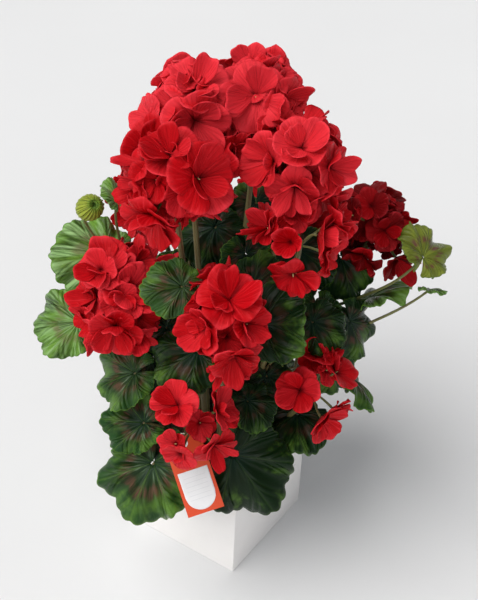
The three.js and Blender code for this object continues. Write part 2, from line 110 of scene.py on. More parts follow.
# The string's way: on the card as (up from its top edge, out of its face), and round the stem
# as (right, back, up from the knot), the first two in stand-offs.
LOOP_FRONT = ((-7, 2.6), (2.5, 2.2))
LOOP_STEM = ((-0.4, -1.1, 3), (1, -0.3, 2), (0.2, 1, 1), (-1, 0.3, 0))
LOOP_BACK = ((-5, -4), (-7, -1.5))
CARD_EDGE = 0.12               # the card's broken edges
RING = {"radius": 4.2, "play": 0.1, "sunk": 0.05, "proud": 0.25, "edge": 0.08}
PANEL = {"half_width": 14.8, "top": 4.6, "centre": -19.7, "lift": 0.10, "half": 0.12,
         "ruled": 9.0}

# Camera and lights. With this lens, the camera's place, tilt and roll fit the planter's corners.
CAMERA = {"at": (13.78, -1071.90, 1133.65), "down": 38.10, "roll": 2.507, "lens": 84}
WINDOW = {"away": (-0.47, -0.28, 0.84), "spread": 56, "colour": (1.0, 0.985, 0.96)}
FRONT_LAMP = {"at": (-150, -1800, 1100), "target": (0, 0, 250), "size": 1100}
ROOM = {"colour": (0.95, 0.97, 1.0, 1), "low": 0.02, "high": 0.35, "floor_level": 0.80}

# Colours of small parts, which have no setting of their own.
STALK_BROWN = (0.115, 0.060, 0.022)
STALK_GREEN = (0.120, 0.200, 0.045)
PIN_YELLOW = (0.55, 0.42, 0.18)
RING_WHITE = (0.8, 0.8, 0.78)
INK_GREY = (0.42, 0.44, 0.47)

# Heads: middle, reach of the florets' middles, floret width, number of florets, then those that
# are placed one by one, as (heading, rise, reach). Heading 0 is toward the front.
HEADS = {
    "crown_front": ((-46, -62, 470), 38, 62, 8,
        ((38, 30, 42), (-85, 35, 34), (-28, -28, 40), (-15, 68, 38), (100, 0, 36))),
    "crown_left": ((-38, 19, 494), 38, 60, 8,
        ((20, 60, 32), (-75, 5, 27), (10, 12, 38), (-110, 40, 30))),
    "crown_top": ((24, 38, 499), 38, 62, 8,
        ((-5, 28, 38), (-90, 54, 26), (40, 12, 33), (100, 36, 25), (-42, -24, 40), (180, 62, 22))),
    "crown_right": ((63, -28, 470), 34, 50, 8,
        ((-55, 22, 36), (-5, 55, 38), (45, 20, 38), (40, -28, 36), (-10, -8, 34))),
    "left": ((-98, -42, 322), 38, 54, 8,
        ((-40, 72, 44), (-55, 22, 29), (25, 45, 40), (0, -2, 44), (-50, -32, 36), (32, -30, 38))),
    "front": ((2, -110, 358), 36, 50, 7,
        ((10, 62, 42), (-34, 14, 28), (40, 24, 34), (14, -16, 42), (20, -60, 40), (-150, 51, 34),
        (113, 23, 26))),
    "right": ((66, -60, 410), 36, 44, 6,
        ((-150, 65, 32), (-80, 30, 36), (-18, 32, 38), (-10, -20, 38), (64, -12, 28))),
    "far_right": ((145, 60, 345), 36, 42, 7,
        ((-110, 70, 36), (85, 30, 26), (-75, 25, 34), (35, -25, 40), (-25, -25, 36), (10, 30, 38))),
    "low_left": ((-23, -112, 238), 34, 46, 4,
        ((-38, 54, 44), (70, 38, 32), (35, -12, 36), (-15, -12, 42))),
    "low_right": ((87, -66, 243), 34, 46, 4,
        ((-25, 34, 40), (150, 75, 34), (85, 45, 32), (50, -22, 30))),
    "back_left": ((-72, 112, 330), 36, 52, 8, ((180, 30, 38), (-100, 20, 36))),
    "back_right": ((70, 124, 312), 36, 52, 8, ((170, 25, 38), (100, 25, 36))),
}

# More florets, which close a head or lean over to the next one: place, heading, rise, width.
CLOSING_FLORETS = {
    "crown_left": (((-71, 2, 492), -60, 25, 44), ((-8, 0, 486), 10, 40, 48)),
    "crown_front": (
        ((-70, -30, 489), -45, 45, 46), ((3, -18, 472), 25, 15, 46),
        ((-72, -78, 467), -60, -10, 40)),
    "crown_top": (
        ((-4, 25, 508), -20, 55, 42), ((14, 0, 473), 20, 5, 44), ((12, 18, 521), -10, 45, 44),
        ((44, 22, 514), 45, 45, 40), ((15, 42, 529), -15, 42, 36)),
    "crown_right": (((40, -8, 493), 15, 40, 42), ((81, -5, 483), 50, 50, 40)),
    "left": (
        ((-94, -75, 346), 0, 20, 42), ((-122, -62, 313), -50, 0, 40), ((-76, -72, 324), 40, 0, 40),
        ((-113, -62, 369), -30, 35, 40), ((-79, -40, 364), 40, 40, 36)),
    "front": (((4, -136, 359), 0, 30, 40), ((21, -130, 337), 30, -10, 34)),
    "right": (
        ((36, -70, 429), -50, 35, 34), ((59, -52, 437), 5, 35, 44), ((83, -70, 423), 66, 0, 54)),
    "low_left": (((-17, -122, 242), 20, 20, 32), ((-39, -138, 229), -35, 20, 34)),
    "low_right": (
        ((85, -58, 274), 10, 45, 34), ((100, -66, 265), 45, 25, 32), ((98, -93, 227), 38, -12, 45)),
    "far_right": (((136, 35, 387), -10, 50, 36), ((118, 30, 378), -50, 30, 34)),
}
# Florets that differ from the rest of their head: share of its floret width, how far their
# petals stand up into a cup, and how many inner petals they have.
ODD_FLORETS = {
    "crown_front": {0: (1.10, 0.05, 3), 1: (0.80, -0.05, 1), 3: (0.90, 0.05, 4)},
    "crown_left": {
        0: (1.0, 0.10, 4), 1: (0.66, -0.10, 1), 2: (1.05, 0.10, 4), 3: (0.72, -0.10, 1),
        4: (0.85, -0.05, 0)},
    "crown_top": {
        0: (1.10, 0.05, 2), 1: (0.78, -0.10, 0), 2: (0.86, 0.15, 3), 3: (0.70, 0.0, 1),
        5: (0.74, -0.10, 0), 6: (0.78, -0.15, 0), 7: (0.68, -0.15, 0)},
    "crown_right": {0: (1.0, 0.25, 3), 1: (1.0, 0.30, 4), 2: (0.92, 0.15, 3), 6: (0.76, -0.10, 1)},
    "left": {
        0: (1.05, 0.10, 3), 1: (0.95, 0.05, 3), 2: (1.05, 0.20, 4), 3: (1.10, 0.15, 4),
        4: (0.80, -0.10, 1)},
    "front": {
        0: (1.12, 0.05, 4), 1: (0.95, 0.45, 3), 2: (0.85, 0.45, 3), 3: (0.92, 0.20, 2),
        6: (0.80, -0.05, 1)},
    "right": {2: (0.60, 1.25, 1), 3: (1.05, 0.0, 1), 4: (0.95, 0.0, 1)},
    "far_right": {1: (0.85, -0.05, 1)},
    "low_left": {0: (1.05, 0.05, 2), 3: (0.80, 0.0, 0)},
    "low_right": {0: (1.05, 0.05, 2), 3: (0.85, 0.05, 1)},
}
# Painted light and shade of each head: how far its petals are lightened toward light red, for heads
# lit from above, or darkened, for heads in shade; 0 is between the two.
HEAD_LIGHT = {"crown_left": 1.0, "crown_top": 0.55, "crown_front": 0.02, "crown_right": 0.30,
         "left": 0.10, "front": -0.10, "far_right": -0.63, "low_left": 0.20, "low_right": -0.05}
# Heads that are loose enough to see between their florets.
LOOSE_HEADS = ("low_left", "low_right", "right")

# Leafy stems: foot, and the leaves as (attachment, heading, pitch, bank, radius, height on the
# stem where the stalk starts, light). A stem carries the head of the same name, if there is one.
# light runs from 0, the old dark leaves, to 1, the youngest yellow-green ones. It is also painted
# light and shade: lower for leaves in shade, higher for lit ones.
STEMS = {
    "crown_front": ((-14, -20), (((-37, -90, 376), -78, -5, 47, 27, 285, 0.41),)),
    "crown_left": ((-14, 4), (((-14, 50, 338), 180, 30, 0, 32, 235, 0.2),)),
    "crown_top": ((4, 18),
        (((0, 72, 280), -172, -12, 0, 32, 205, 0.2), ((30, 64, 336), 160, 30, 0, 30, 240, 0.3))),
    "crown_right": ((14, 2), (((28, -34, 338), 170, 42, 20, 25, 250, 0.2),)),
    "left": ((-33, -12),
        (((-82, -65, 250), -89, -28, 33, 33, 180, 0.4),
        ((-140, -24, 276), -93, -10, 43, 35, 215, 0.62))),
    "front": ((0, -36),
        (((-22, -82, 296), -66, -28, 28, 36, 200, 0.1),
        ((38, -75, 326), 47, 28, -63, 38, 215, 0.1))),
    "right": ((24, -22), (((84, -40, 302), 66, -20, -38, 26, 225, 0.1),)),
    "far_right": ((36, 18),
        (((144, 29, 280), 133, 1, 29, 34, 215, 0.55), ((187, 8, 348), 168, 20, -39, 30, 250, 0.9),
        ((104, 40, 196), 98, -38, 0, 36, 150, 0.2))),
    "low_left": ((-20, -40),
        (((-72, -88, 207), -105, -10, 48, 32, 160, 0.35),
        ((-62, -107, 173), -34, -52, 12, 46, 140, 0.38))),
    "low_right": ((38, -34), (((76, -52, 194), 0, -12, 0, 34, 160, 0.1),)),
    "back_left": ((-20, 38),
        (((-60, 98, 230), -150, -25, 0, 40, 170, 0.3),
        ((-112, 60, 250), -115, -20, 0, 38, 190, 0.4),
        ((-88, 36, 176), -100, -42, 0, 36, 145, 0.2))),
    "back_right": ((20, 42),
        (((36, 112, 205), 178, -30, 0, 42, 160, 0.3), ((104, 82, 215), 125, -25, 0, 40, 175, 0.4))),
    "tall_left": ((-36, 12),
        (((-116, 29, 318), -68, 4, 40, 41.5, 265, 0.75),
        ((-105, 18, 391), -150, 37, -21, 17, 282, 0.66))),
    "low_front": ((12, -46),
        (((14, -104, 186), 58, -44, -44, 49, 172, 0.0),
        ((26, -80, 234), 50, -28, -17, 24, 180, 0.1))),
    "tall_right": ((44, -8),
        (((94, 0, 262), 86, -34, -35, 38, 225, 0.28), ((130, 7, 195), 35, -23, 51, 31, 195, 0.4),
        ((198, 22, 298), 74, 7, 36, 14, 230, 0.7))),
}
# Tops of the stems that carry no head.
BARE_TOPS = {"tall_left": (-86, 26, 286), "low_front": (14, -80, 190), "tall_right": (90, 2, 236)}
# Stems that bow out near their top, by (right, back).
BOWED = {"crown_right": (-8, 36)}
# Leaves deep in the bush, which close the view between the stems; written as above.
INNER_LEAVES = {
    "crown_front": (((-12, 37, 353), -20, -50, 0, 34, 225, 0.1),),
    "crown_top": (
        ((26, 58, 369), 10, -45, 0, 34, 230, 0.15), ((-10, 66, 250), 175, -50, 0, 36, 190, 0.2)),
    "front": (
        ((18, 10, 342), 25, -55, 10, 30, 190, 0.3), ((36, -24, 235), 0, -52, 0, 28, 175, 0.2)),
    "right": (((70, 28, 337), 10, -50, -5, 36, 215, 0.1),),
    "far_right": (((112, 47, 316), 25, -45, 0, 32, 190, 0.15),),
    "tall_right": (
        ((122, -3, 276), 60, -66, -10, 32, 190, 0.15), ((90, -7, 292), 10, -55, 10, 27, 180, 0.25)),
    "low_front": (((23, -45, 220), -10, -60, 0, 30, 150, 0.05),),
    "low_right": (
        ((47, -15, 181), 15, -60, 0, 32, 150, 0.1), ((44, -40, 232), 5, -60, 0, 28, 170, 0.1),
        ((104, -14, 239), 20, -52, 0, 28, 160, 0.3)),
    "low_left": (
        ((-30, -24, 267), -20, -52, 0, 30, 150, 0.2), ((-50, -86, 186), -20, -50, 0, 20, 140, 0.2)),
    "left": (
        ((-37, 16, 291), -35, -50, 0, 34, 190, 0.1), ((-60, -43, 212), -40, -50, 0, 30, 170, 0.25),
        ((-66, -42, 252), -30, -52, 0, 25, 185, 0.2),
        ((-54, -38, 286), -20, -52, 0, 25, 195, 0.15)),
    "crown_right": (
        ((6, -13, 281), 0, -55, 0, 34, 190, 0.05), ((35, -14, 318), 10, -52, 0, 30, 200, 0.15)),
    "back_left": (
        ((-40, 84, 285), -170, -45, 0, 34, 200, 0.25),
        ((-66, 62, 214), -130, -50, 0, 34, 160, 0.2)),
    "back_right": (
        ((50, 92, 262), 165, -45, 0, 34, 190, 0.2), ((78, 62, 160), 130, -55, 0, 36, 140, 0.15)),
}
# Leaves folded along the middle: how far the halves rise, and how deep the tip is notched.
FOLDED = {("far_right", 1): (0.16, 0.4), ("tall_right", 1): (0.10, 0.0),
          ("tall_right", 2): (0.20, 0.0), ("low_left", 0): (0.25, 0.0),
          ("low_left", 1): (0.18, 0.0), ("low_front", 0): (0.12, 0.0), ("left", 0): (0.20, 0.0),
          ("left", 1): (0.10, 0.0), ("tall_left", 0): (0.12, 0.0), ("tall_left", 1): (0.30, 0.1)}
# The young leaf, with the size of each of its layers and how far round it closes.
YOUNG_LEAF = {"stem": "tall_left", "at": (-130, 12, 386), "radius": 13, "from": 285,
              "axis": (0.45, -0.55, 0.70), "half": 0.35,
              "layers": ((0.97, 2.80), (0.88, 2.96), (0.66, 3.05))}


# ---- what a user may change ------------------------------------------------------------
def length(name, description, default, low=0.0001, high=0.1):
    return FloatProperty(name=name, description=description, default=default,
                         min=low, max=high, unit="LENGTH", precision=4)


def colour(name, description, default):
    return FloatVectorProperty(name=name, description=description, default=default,
                               subtype="COLOR", size=3, min=0, max=1)


class PlanterSettings(PropertyGroup):
    """The cube planter and what fills it"""
    wall: length("Wall", "Thickness of the planter's walls and floor", 0.006)
    edge: length("Edge rounding", "Radius of the planter's edges", 0.0011)
    white: colour("Planter", "Colour of the planter", (0.91, 0.885, 0.868))
    bark: colour("Bark", "Colour of the dark potting bark", (0.035, 0.020, 0.012))
    chips: IntProperty(name="Bark chips", description="Loose chips on the filler's top",
                       default=320, min=0, max=2000)


class FoliageSettings(PropertyGroup):
    """Leaves, stalks and stems"""
    thickness: length("Blade", "Thickness of a leaf", 0.0009)
    heart: colour("Heart", "Colour round the leaf's attachment", (0.004, 0.020, 0.011))
    zone: colour("Zone", "Colour of the horseshoe zone", (0.105, 0.038, 0.028))
    blade: colour("Blade", "Colour of the outer half of a leaf", (0.012, 0.052, 0.010))
    margin: colour("Margin", "Colour of the leaf's edge", (0.120, 0.250, 0.030))
    # pale is partly the print's light mottling and partly painted satin sheen.
    pale: colour("Pale patches", "Colour of light patches on fresh leaves", (0.300, 0.500, 0.190))
    # satin is the colour of painted highlights, the streaks of sheen on the leaves' folds.
    satin: colour("Satin", "Colour of the worn satin streaks", (0.200, 0.280, 0.190))
    young: colour("Young leaf", "Colour of the youngest, yellow leaves", (0.210, 0.250, 0.030))
    stalk: colour("Stalk", "Colour of stalks and stems", (0.210, 0.190, 0.072))


class BloomSettings(PropertyGroup):
    """Flower heads"""
    thickness: length("Petal", "Thickness of a petal", 0.0006)
    red: colour("Petal", "Colour of a petal", (0.500, 0.002, 0.006))
    throat: colour("Throat", "Colour deep in a floret", (0.120, 0.000, 0.002))
    # The petal edge colour is the painted highlight: on the rims, on the crease ridges and on the
    # heads that are given more light.
    edge: colour("Petal edge", "Colour of a petal's worn edge", (0.900, 0.050, 0.070))


class TagSettings(PropertyGroup):
    """The hang tag and its string"""
    card: colour("Card", "Colour of the card", (0.640, 0.060, 0.012))
    panel: colour("Panel", "Colour of the plain panel", (0.740, 0.745, 0.755))
    string: colour("String", "Colour of the string", (0.700, 0.660, 0.560))


class StageSettings(PropertyGroup):
    """Floor, light and camera"""
    floor: colour("Floor", "Colour of the floor", (0.800, 0.805, 0.815))
    key: FloatProperty(name="Window light", description="Strength of the large soft light",
                       default=2.85, min=0, max=20)
    front: FloatProperty(name="Front light", description="Strength of the faint front light",
                         default=6, min=0, max=1000, unit="POWER")
    sky: FloatProperty(name="Room light", description="Strength of the even room light",
                       default=0.28, min=0, max=10)


# ---- small tools -----------------------------------------------------------------------
def draw(a, b):
    """A draw from 0 to 1 that depends only on its two numbers."""
    x = math.sin(a * 12.9898 + b * 78.233) * 43758.5453
    return x - math.floor(x)


def smooth(x, low, high):
    """Rises softly from 0 at low to 1 at high."""
    t = np.clip((x - low) / (high - low), 0, 1)
    return t * t * (3 - 2 * t)


def direction(heading, rise):
    h, r = math.radians(heading), math.radians(rise)
    return Vector((math.cos(r) * math.sin(h), -math.cos(r) * math.cos(h), math.sin(r)))


def basis(across, along, face, at):
    """The frame with these axes as its columns, at that place."""
    return Matrix((
        (across.x, along.x, face.x, at[0]),
        (across.y, along.y, face.y, at[1]),
        (across.z, along.z, face.z, at[2]),
        (0, 0, 0, 1)))


def placed(points, place):
    """An array of points, turned and moved by that matrix."""
    return points @ np.array(place.to_3x3()).T + np.array(place.translation)


def bezier(a, b, c, d, steps):
    t = np.linspace(0, 1, steps + 1)[:, None]
    a, b, c, d = (np.array(p, float) for p in (a, b, c, d))
    return a * (1 - t) ** 3 + 3 * b * t * (1 - t) ** 2 + 3 * c * t * t * (1 - t) + d * t ** 3


def grid_faces(rows, columns):
    """The faces of a grid of points, and the line round its rim, as point numbers."""
    index = np.arange(rows * columns).reshape(rows, columns)
    quads = np.stack([index[:-1, :-1], index[1:, :-1], index[1:, 1:], index[:-1, 1:]], -1)
    rim = np.concatenate([index[:, 0], index[-1, 1:], index[-2::-1, -1], index[0, -2:0:-1]])
    return quads.reshape(-1, 4), rim


def side_faces(rim, below):
    """The faces that join a closed line of points to the line below it."""
    return np.stack([below, np.roll(below, -1), np.roll(rim, -1), rim], -1)


# Numbers painted on every point: how far out it is, how far round or across, and how light.
PAINTS = ("along", "across", "tone")


class Surface:
    """Gathers the faces of one piece."""

    def __init__(self):
        self.points, self.faces, self.finish = [], [], []
        self.paint = {name: [] for name in PAINTS}
        self.count = 0

    def add(self, points, faces, finish, along, across, tone):
        points = np.asarray(points, float).reshape(-1, 3)
        self.points.append(points)
        self.faces.extend((np.asarray(face) + self.count).tolist() for face in faces)
        self.finish.extend([finish] * len(faces))
        for name, values in zip(PAINTS, (along, across, tone)):
            self.paint[name].append(np.broadcast_to(values, len(points)).astype(np.float32))
        self.count += len(points)

    def sheet(self, grid, half, finish, along, across, tone, place=None):
        """A thin closed sheet about a grid of middle points, rounded off at its rim."""
        grid = np.asarray(grid, float)
        rows, columns = grid.shape[:2]
        normal = np.cross(np.gradient(grid, axis=0), np.gradient(grid, axis=1))
        normal /= np.linalg.norm(normal, axis=2, keepdims=True) + 1e-12
        upper, lower = grid + normal * half, grid - normal * half
        points = np.concatenate([upper.reshape(-1, 3), lower.reshape(-1, 3)])
        if place is not None:
            points = placed(points, place)
        quads, rim = grid_faces(rows, columns)
        below = rows * columns
        faces = np.concatenate([quads, quads[:, ::-1] + below, side_faces(rim, rim + below)])
        both = [np.concatenate([np.broadcast_to(v, (rows, columns)).ravel()] * 2)
                for v in (along, across)]
        self.add(points, faces, finish, *both, tone)

    def tube(self, path, radius, sides, finish, tone):
        """A closed round tube along a path. radius is one number or one for each point."""
        path = np.asarray(path, float)
        count = len(path)
        radius = np.broadcast_to(radius, count)
        ahead = np.gradient(path, axis=0)
        ahead /= np.linalg.norm(ahead, axis=1, keepdims=True)
        side = np.cross(ahead[0], (0.3, 0.9, 0.2))
        rings = []
        turns = np.arange(sides) * 2 * math.pi / sides
        for i in range(count):
            side = side - ahead[i] * np.dot(side, ahead[i])
            side /= np.linalg.norm(side)
            other = np.cross(ahead[i], side)
            ring = np.outer(np.cos(turns), side) + np.outer(np.sin(turns), other)
            rings.append(path[i] + ring * radius[i])
        index = np.arange(count * sides).reshape(count, sides)
        after = np.roll(index, -1, axis=1)
        quads = np.stack([index[:-1], after[:-1], after[1:], index[1:]], -1).reshape(-1, 4)
        faces = [*quads, index[0, ::-1], index[-1]]
        along = np.repeat(np.linspace(0, 1, count), sides)
        across = np.tile(turns / (2 * math.pi), count)
        self.add(np.concatenate(rings), faces, finish, along, across, tone)

    def piece(self, name, finishes, node, slot, to_frame=TO_FRAME):
        """Makes the scene's object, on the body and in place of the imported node."""
        mesh = bpy.data.meshes.new(name)
        mesh.from_pydata(np.concatenate(self.points).tolist(), [], self.faces)
        for finish in finishes:
            mesh.materials.append(finish)
        mesh.polygons.foreach_set("material_index", self.finish)
        mesh.shade_smooth()
        for paint, values in self.paint.items():
            layer = mesh.attributes.new(paint, "FLOAT", "POINT")
            layer.data.foreach_set("value", np.concatenate(values))
        mesh.transform(to_frame)
        mesh.update()
        return settle(bpy.data.objects.new(name, mesh), node)


def settle(piece, node):
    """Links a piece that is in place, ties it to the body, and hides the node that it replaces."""
    bpy.context.scene.collection.objects.link(piece)
    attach(piece, "root")
    if node:
        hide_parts(node)
    return piece


# ---- materials -------------------------------------------------------------------------
class Finish:
    """A node material under construction, with its shader and the short ways to add nodes."""

    def __init__(self, name, roughness, **sockets):
        self.material = bpy.data.materials.new(name)
        self.material.use_nodes = True
        self.tree = self.material.node_tree
        self.shader = next(n for n in self.tree.nodes if n.type == "BSDF_PRINCIPLED")
        self.shader.inputs["Roughness"].default_value = roughness
        for socket, value in sockets.items():
            self.shader.inputs[socket.replace("_", " ")].default_value = value

    def node(self, kind, **settings):
        made = self.tree.nodes.new("ShaderNode" + kind)
        for name, value in settings.items():
            setattr(made, name, value)
        return made

    def put(self, socket, value):
        if isinstance(value, bpy.types.NodeSocket):
            self.tree.links.new(value, socket)
        elif socket.type == "RGBA":
            socket.default_value = (*value, 1)
        else:
            socket.default_value = value

    def paint(self, name):
        return self.node("Attribute", attribute_name=name).outputs["Fac"]

    def paints(self):
        return [self.paint(name) for name in PAINTS]

    def place(self):
        return self.node("TexCoord").outputs["Object"]

    def math(self, operation, a, b=0.0, c=0.0, clamp=False):
        made = self.node("Math", operation=operation, use_clamp=clamp)
        for socket, value in zip(made.inputs, (a, b, c)):
            self.put(socket, value)
        return made.outputs[0]

    def times(self, first, *others):
        for other in others:
            first = self.math("MULTIPLY", first, other)
        return first

    def plus(self, a, b):
        return self.math("ADD", a, b)

    def scaled(self, a, factor, offset):
        return self.math("MULTIPLY_ADD", a, factor, offset)

    def apart(self, a, b):
        return self.math("ABSOLUTE", self.math("SUBTRACT", a, b))

    def ease(self, value, low, high, start=0.0, end=1.0):
        made = self.node("MapRange", interpolation_type="SMOOTHSTEP")
        for socket, given in zip(made.inputs, (value, low, high, start, end)):
            self.put(socket, given)
        return made.outputs[0]

    def mix(self, share, a, b, blend="MIX"):
        made = self.node("Mix", data_type="RGBA", blend_type=blend, clamp_factor=True)
        for socket, value in ((0, share), (6, a), (7, b)):
            self.put(made.inputs[socket], value)
        return made.outputs[2]

    def noise(self, scale, detail=3.0, rough=0.5, vector=None, stretch=None):
        where = vector or self.place()
        if stretch:
            mapping = self.node("Mapping")
            self.put(mapping.inputs["Vector"], where)
            self.put(mapping.inputs["Scale"], stretch)
            where = mapping.outputs[0]
        made = self.node("TexNoise")
        for socket, value in (("Vector", where), ("Scale", scale), ("Detail", detail),
                              ("Roughness", rough)):
            self.put(made.inputs[socket], value)
        return made.outputs["Fac"]

    def painted(self, along, across, along_scale, across_scale):
        """A place on the sheet itself, for patterns that follow its veins."""
        made = self.node("CombineXYZ")
        self.put(made.inputs[0], self.times(along, along_scale))
        self.put(made.inputs[1], self.times(across, across_scale))
        self.put(made.inputs[2], self.times(self.paint("tone"), 37.0))
        return made.outputs[0]

    def bump(self, height, strength, distance):
        made = self.node("Bump")
        self.put(made.inputs["Strength"], strength)
        self.put(made.inputs["Distance"], distance)
        self.put(made.inputs["Height"], height)
        self.put(self.shader.inputs["Normal"], made.outputs[0])

    def base(self, value):
        self.put(self.shader.inputs["Base Color"], value)

    def roughness(self, value):
        self.put(self.shader.inputs["Roughness"], value)


def shade(rgb, factor):
    return tuple(min(1.0, channel * factor) for channel in rgb)


def mid(a, b, share):
    return tuple(x + (y - x) * share for x, y in zip(a, b))


def petal_cloth(bloom):
    """Dyed woven petals: dark throats, a red that varies at random and by painted light and shade,
    fine creases that fan out with painted shade in them and painted highlights on their ridges, and
    painted highlights on the edges.
    """
    cloth = Finish("petal_cloth", 0.5, Specular_IOR_Level=0.09)
    along, across, tone = cloth.paints()
    fan = cloth.noise(1.0, 3, 0.6, cloth.painted(along, across, 1.5, 8.0))
    cloud = cloth.noise(42, 3, 0.55)
    reach = cloth.plus(along, cloth.scaled(cloud, 0.22, -0.11))
    # Painted light and shade: the tone makes a petal deep red or light red; it varies at random and
    # is shifted for each head, lighter for heads lit from above and darker for heads in shade.
    dye_and_light = cloth.mix(cloth.ease(tone, -0.2, 0.42), shade(bloom.red, 0.30), bloom.red)
    light_red = mid(bloom.red, bloom.edge, 0.75)
    dye_and_light = cloth.mix(cloth.ease(tone, 0.42, 1.1, 0.0, 0.8), dye_and_light, light_red)
    body = cloth.mix(cloth.ease(reach, 0.02, 0.36), bloom.throat, dye_and_light)
    # Painted shade in the fanning creases, and painted highlights on the ridges between them.
    body = cloth.mix(cloth.ease(fan, 0.46, 0.72, 0.0, 0.40), body, shade(bloom.red, 0.40))
    ridge_highlight = cloth.times(cloth.ease(fan, 0.46, 0.28), cloth.ease(reach, 0.25, 0.60, 0.0, 0.30))
    body = cloth.mix(ridge_highlight, body, bloom.edge)
    # Painted highlight: the petal's rim is lightened toward light pink.
    rim = cloth.times(cloth.ease(reach, 0.78, 1.0), cloth.ease(cloud, 0.35, 0.7, 0.05, 0.55))
    body = cloth.mix(cloth.times(rim, cloth.ease(tone, 0.0, 0.5, 0.35)), body, bloom.edge)
    cloth.base(body)
    weave = cloth.noise(1500, 2, 0.6)
    height = cloth.scaled(fan, 0.8, cloth.times(weave, 0.15))
    cloth.bump(height, 0.75, 0.0018)
    cloth.roughness(cloth.ease(fan, 0.2, 0.8, 0.42, 0.62))
    return cloth.material


def young_colours(cloth, foliage, streak, comb, band, tone):
    """The light green of fresh leaves, which turns yellow on the youngest ones."""
    margin, young, zone = foliage.margin, foliage.young, foliage.zone
    fresh = cloth.mix(cloth.ease(streak, 0.38, 0.60), shade(margin, 0.30), shade(margin, 1.25))
    # pale patches: partly the print's light mottling, partly painted satin sheen
    fresh = cloth.mix(cloth.ease(comb, 0.42, 0.66), fresh, foliage.pale)
    fresh = cloth.mix(cloth.times(band, 0.65), fresh, shade(zone, 1.3))
    yellowed = cloth.mix(cloth.ease(streak, 0.35, 0.7), shade(young, 0.55), young)
    strong = cloth.math("MULTIPLY", band, 1.3, clamp=True)
    yellowed = cloth.mix(strong, yellowed, shade(zone, 1.2))
    yellowed = cloth.mix(cloth.ease(tone, 0.90, 0.96, 0.0, 0.7), yellowed, shade(young, 1.7))
    return cloth.mix(cloth.ease(tone, 0.78, 0.86), fresh, yellowed)


def leaf_cloth(foliage):
    """Printed satin leaves: dark heart, brown-red zone, green blade, light edge and veins, with
    painted satin highlights on the folds.
    """
    cloth = Finish("leaf_cloth", 0.35, Specular_IOR_Level=0.16)
    along, across, tone = cloth.paints()
    cloud = cloth.noise(30, 4, 0.6)
    patch = cloth.noise(60, 3, 0.6)
    streak = cloth.noise(1.0, 4, 0.6, cloth.painted(along, across, 1.5, 2.4))
    comb = cloth.noise(1.0, 3, 0.6, cloth.painted(along, across, 1.1, 6.0))
    reach = cloth.plus(along, cloth.scaled(streak, 0.44, -0.22))
    # distance from the lobe's main vein, and from the two pairs that fork off it
    aside = cloth.apart(cloth.math("FRACT", across), 0.5)
    widen = cloth.plus(along, 0.12)
    main = cloth.times(aside, widen)
    forks = []
    for start, spread in ((0.24, 0.50), (0.50, 0.52)):
        beyond = cloth.math("MAXIMUM", cloth.math("SUBTRACT", along, start), 0)
        line = cloth.times(beyond, spread)
        forks.append(cloth.times(cloth.apart(aside, line), widen))
    fork = cloth.math("MINIMUM", *forks)
    nearest = cloth.math("MINIMUM", main, fork)
    body = cloth.mix(cloth.ease(reach, 0.05, 0.40), foliage.heart, shade(foliage.blade, 0.27))
    lit = cloth.mix(cloth.ease(tone, 0.0, 0.35), shade(foliage.blade, 0.30), foliage.blade)
    body = cloth.mix(cloth.ease(reach, 0.52, 0.92, 0.0, 0.9), body, lit)
    # pale patches toward the margin, more of them on the lighter leaves
    patches = cloth.scaled(tone, 0.20, cloth.scaled(streak, 0.5, cloud))
    outer = cloth.times(cloth.ease(patches, 0.76, 0.98), cloth.ease(along, 0.40, 0.85, 0, 0.85))
    body = cloth.mix(outer, body, shade(foliage.margin, 0.75))
    # the zone, broken up by the streaks between the veins
    band = cloth.times(cloth.ease(reach, 0.34, 0.46), cloth.ease(reach, 0.66, 0.52),
                       cloth.ease(comb, 0.40, 0.60, 0.05, 0.80),
                       cloth.ease(fork, 0.0, 0.03, 0.5, 1.0), cloth.ease(tone, 0.0, 0.2))
    body = cloth.mix(band, body, foliage.zone)
    # painted highlights: light satin streaks on the folds near the attachment
    highlighted = cloth.times(cloth.ease(streak, 0.54, 0.70), cloth.ease(along, 0.08, 0.25),
                       cloth.ease(along, 0.75, 0.45), cloth.ease(tone, 0.05, 0.5, 0.05, 0.55))
    body = cloth.mix(highlighted, body, foliage.satin)
    body = cloth.mix(cloth.ease(tone, 0.3, 0.8, 0.0, 0.95), body,
                     young_colours(cloth, foliage, streak, comb, band, tone))
    old = cloth.ease(tone, 0.0, 0.35, 0.25, 1.0)
    line = cloth.times(cloth.ease(main, 0.034, 0.002, 0.0, 0.34), old)
    body = cloth.mix(line, body, shade(foliage.margin, 0.6))
    line = cloth.times(cloth.ease(fork, 0.026, 0.002, 0.0, 0.15), old)
    body = cloth.mix(line, body, shade(foliage.margin, 0.55))
    edge = cloth.times(cloth.ease(along, 0.965, 1.0, 0.0, 0.7), old)
    body = cloth.mix(edge, body, foliage.margin)
    cloth.base(body)
    weave = cloth.noise(1300, 2, 0.6)
    quilt = cloth.ease(nearest, 0.0, 0.05)
    height = cloth.scaled(quilt, 0.6, cloth.times(streak, 0.9))
    height = cloth.plus(height, cloth.times(patch, 0.4))
    height = cloth.plus(height, cloth.times(weave, 0.08))
    cloth.bump(height, 0.75, 0.0016)
    cloth.roughness(cloth.ease(streak, 0.25, 0.7, 0.22, 0.46))
    return cloth.material


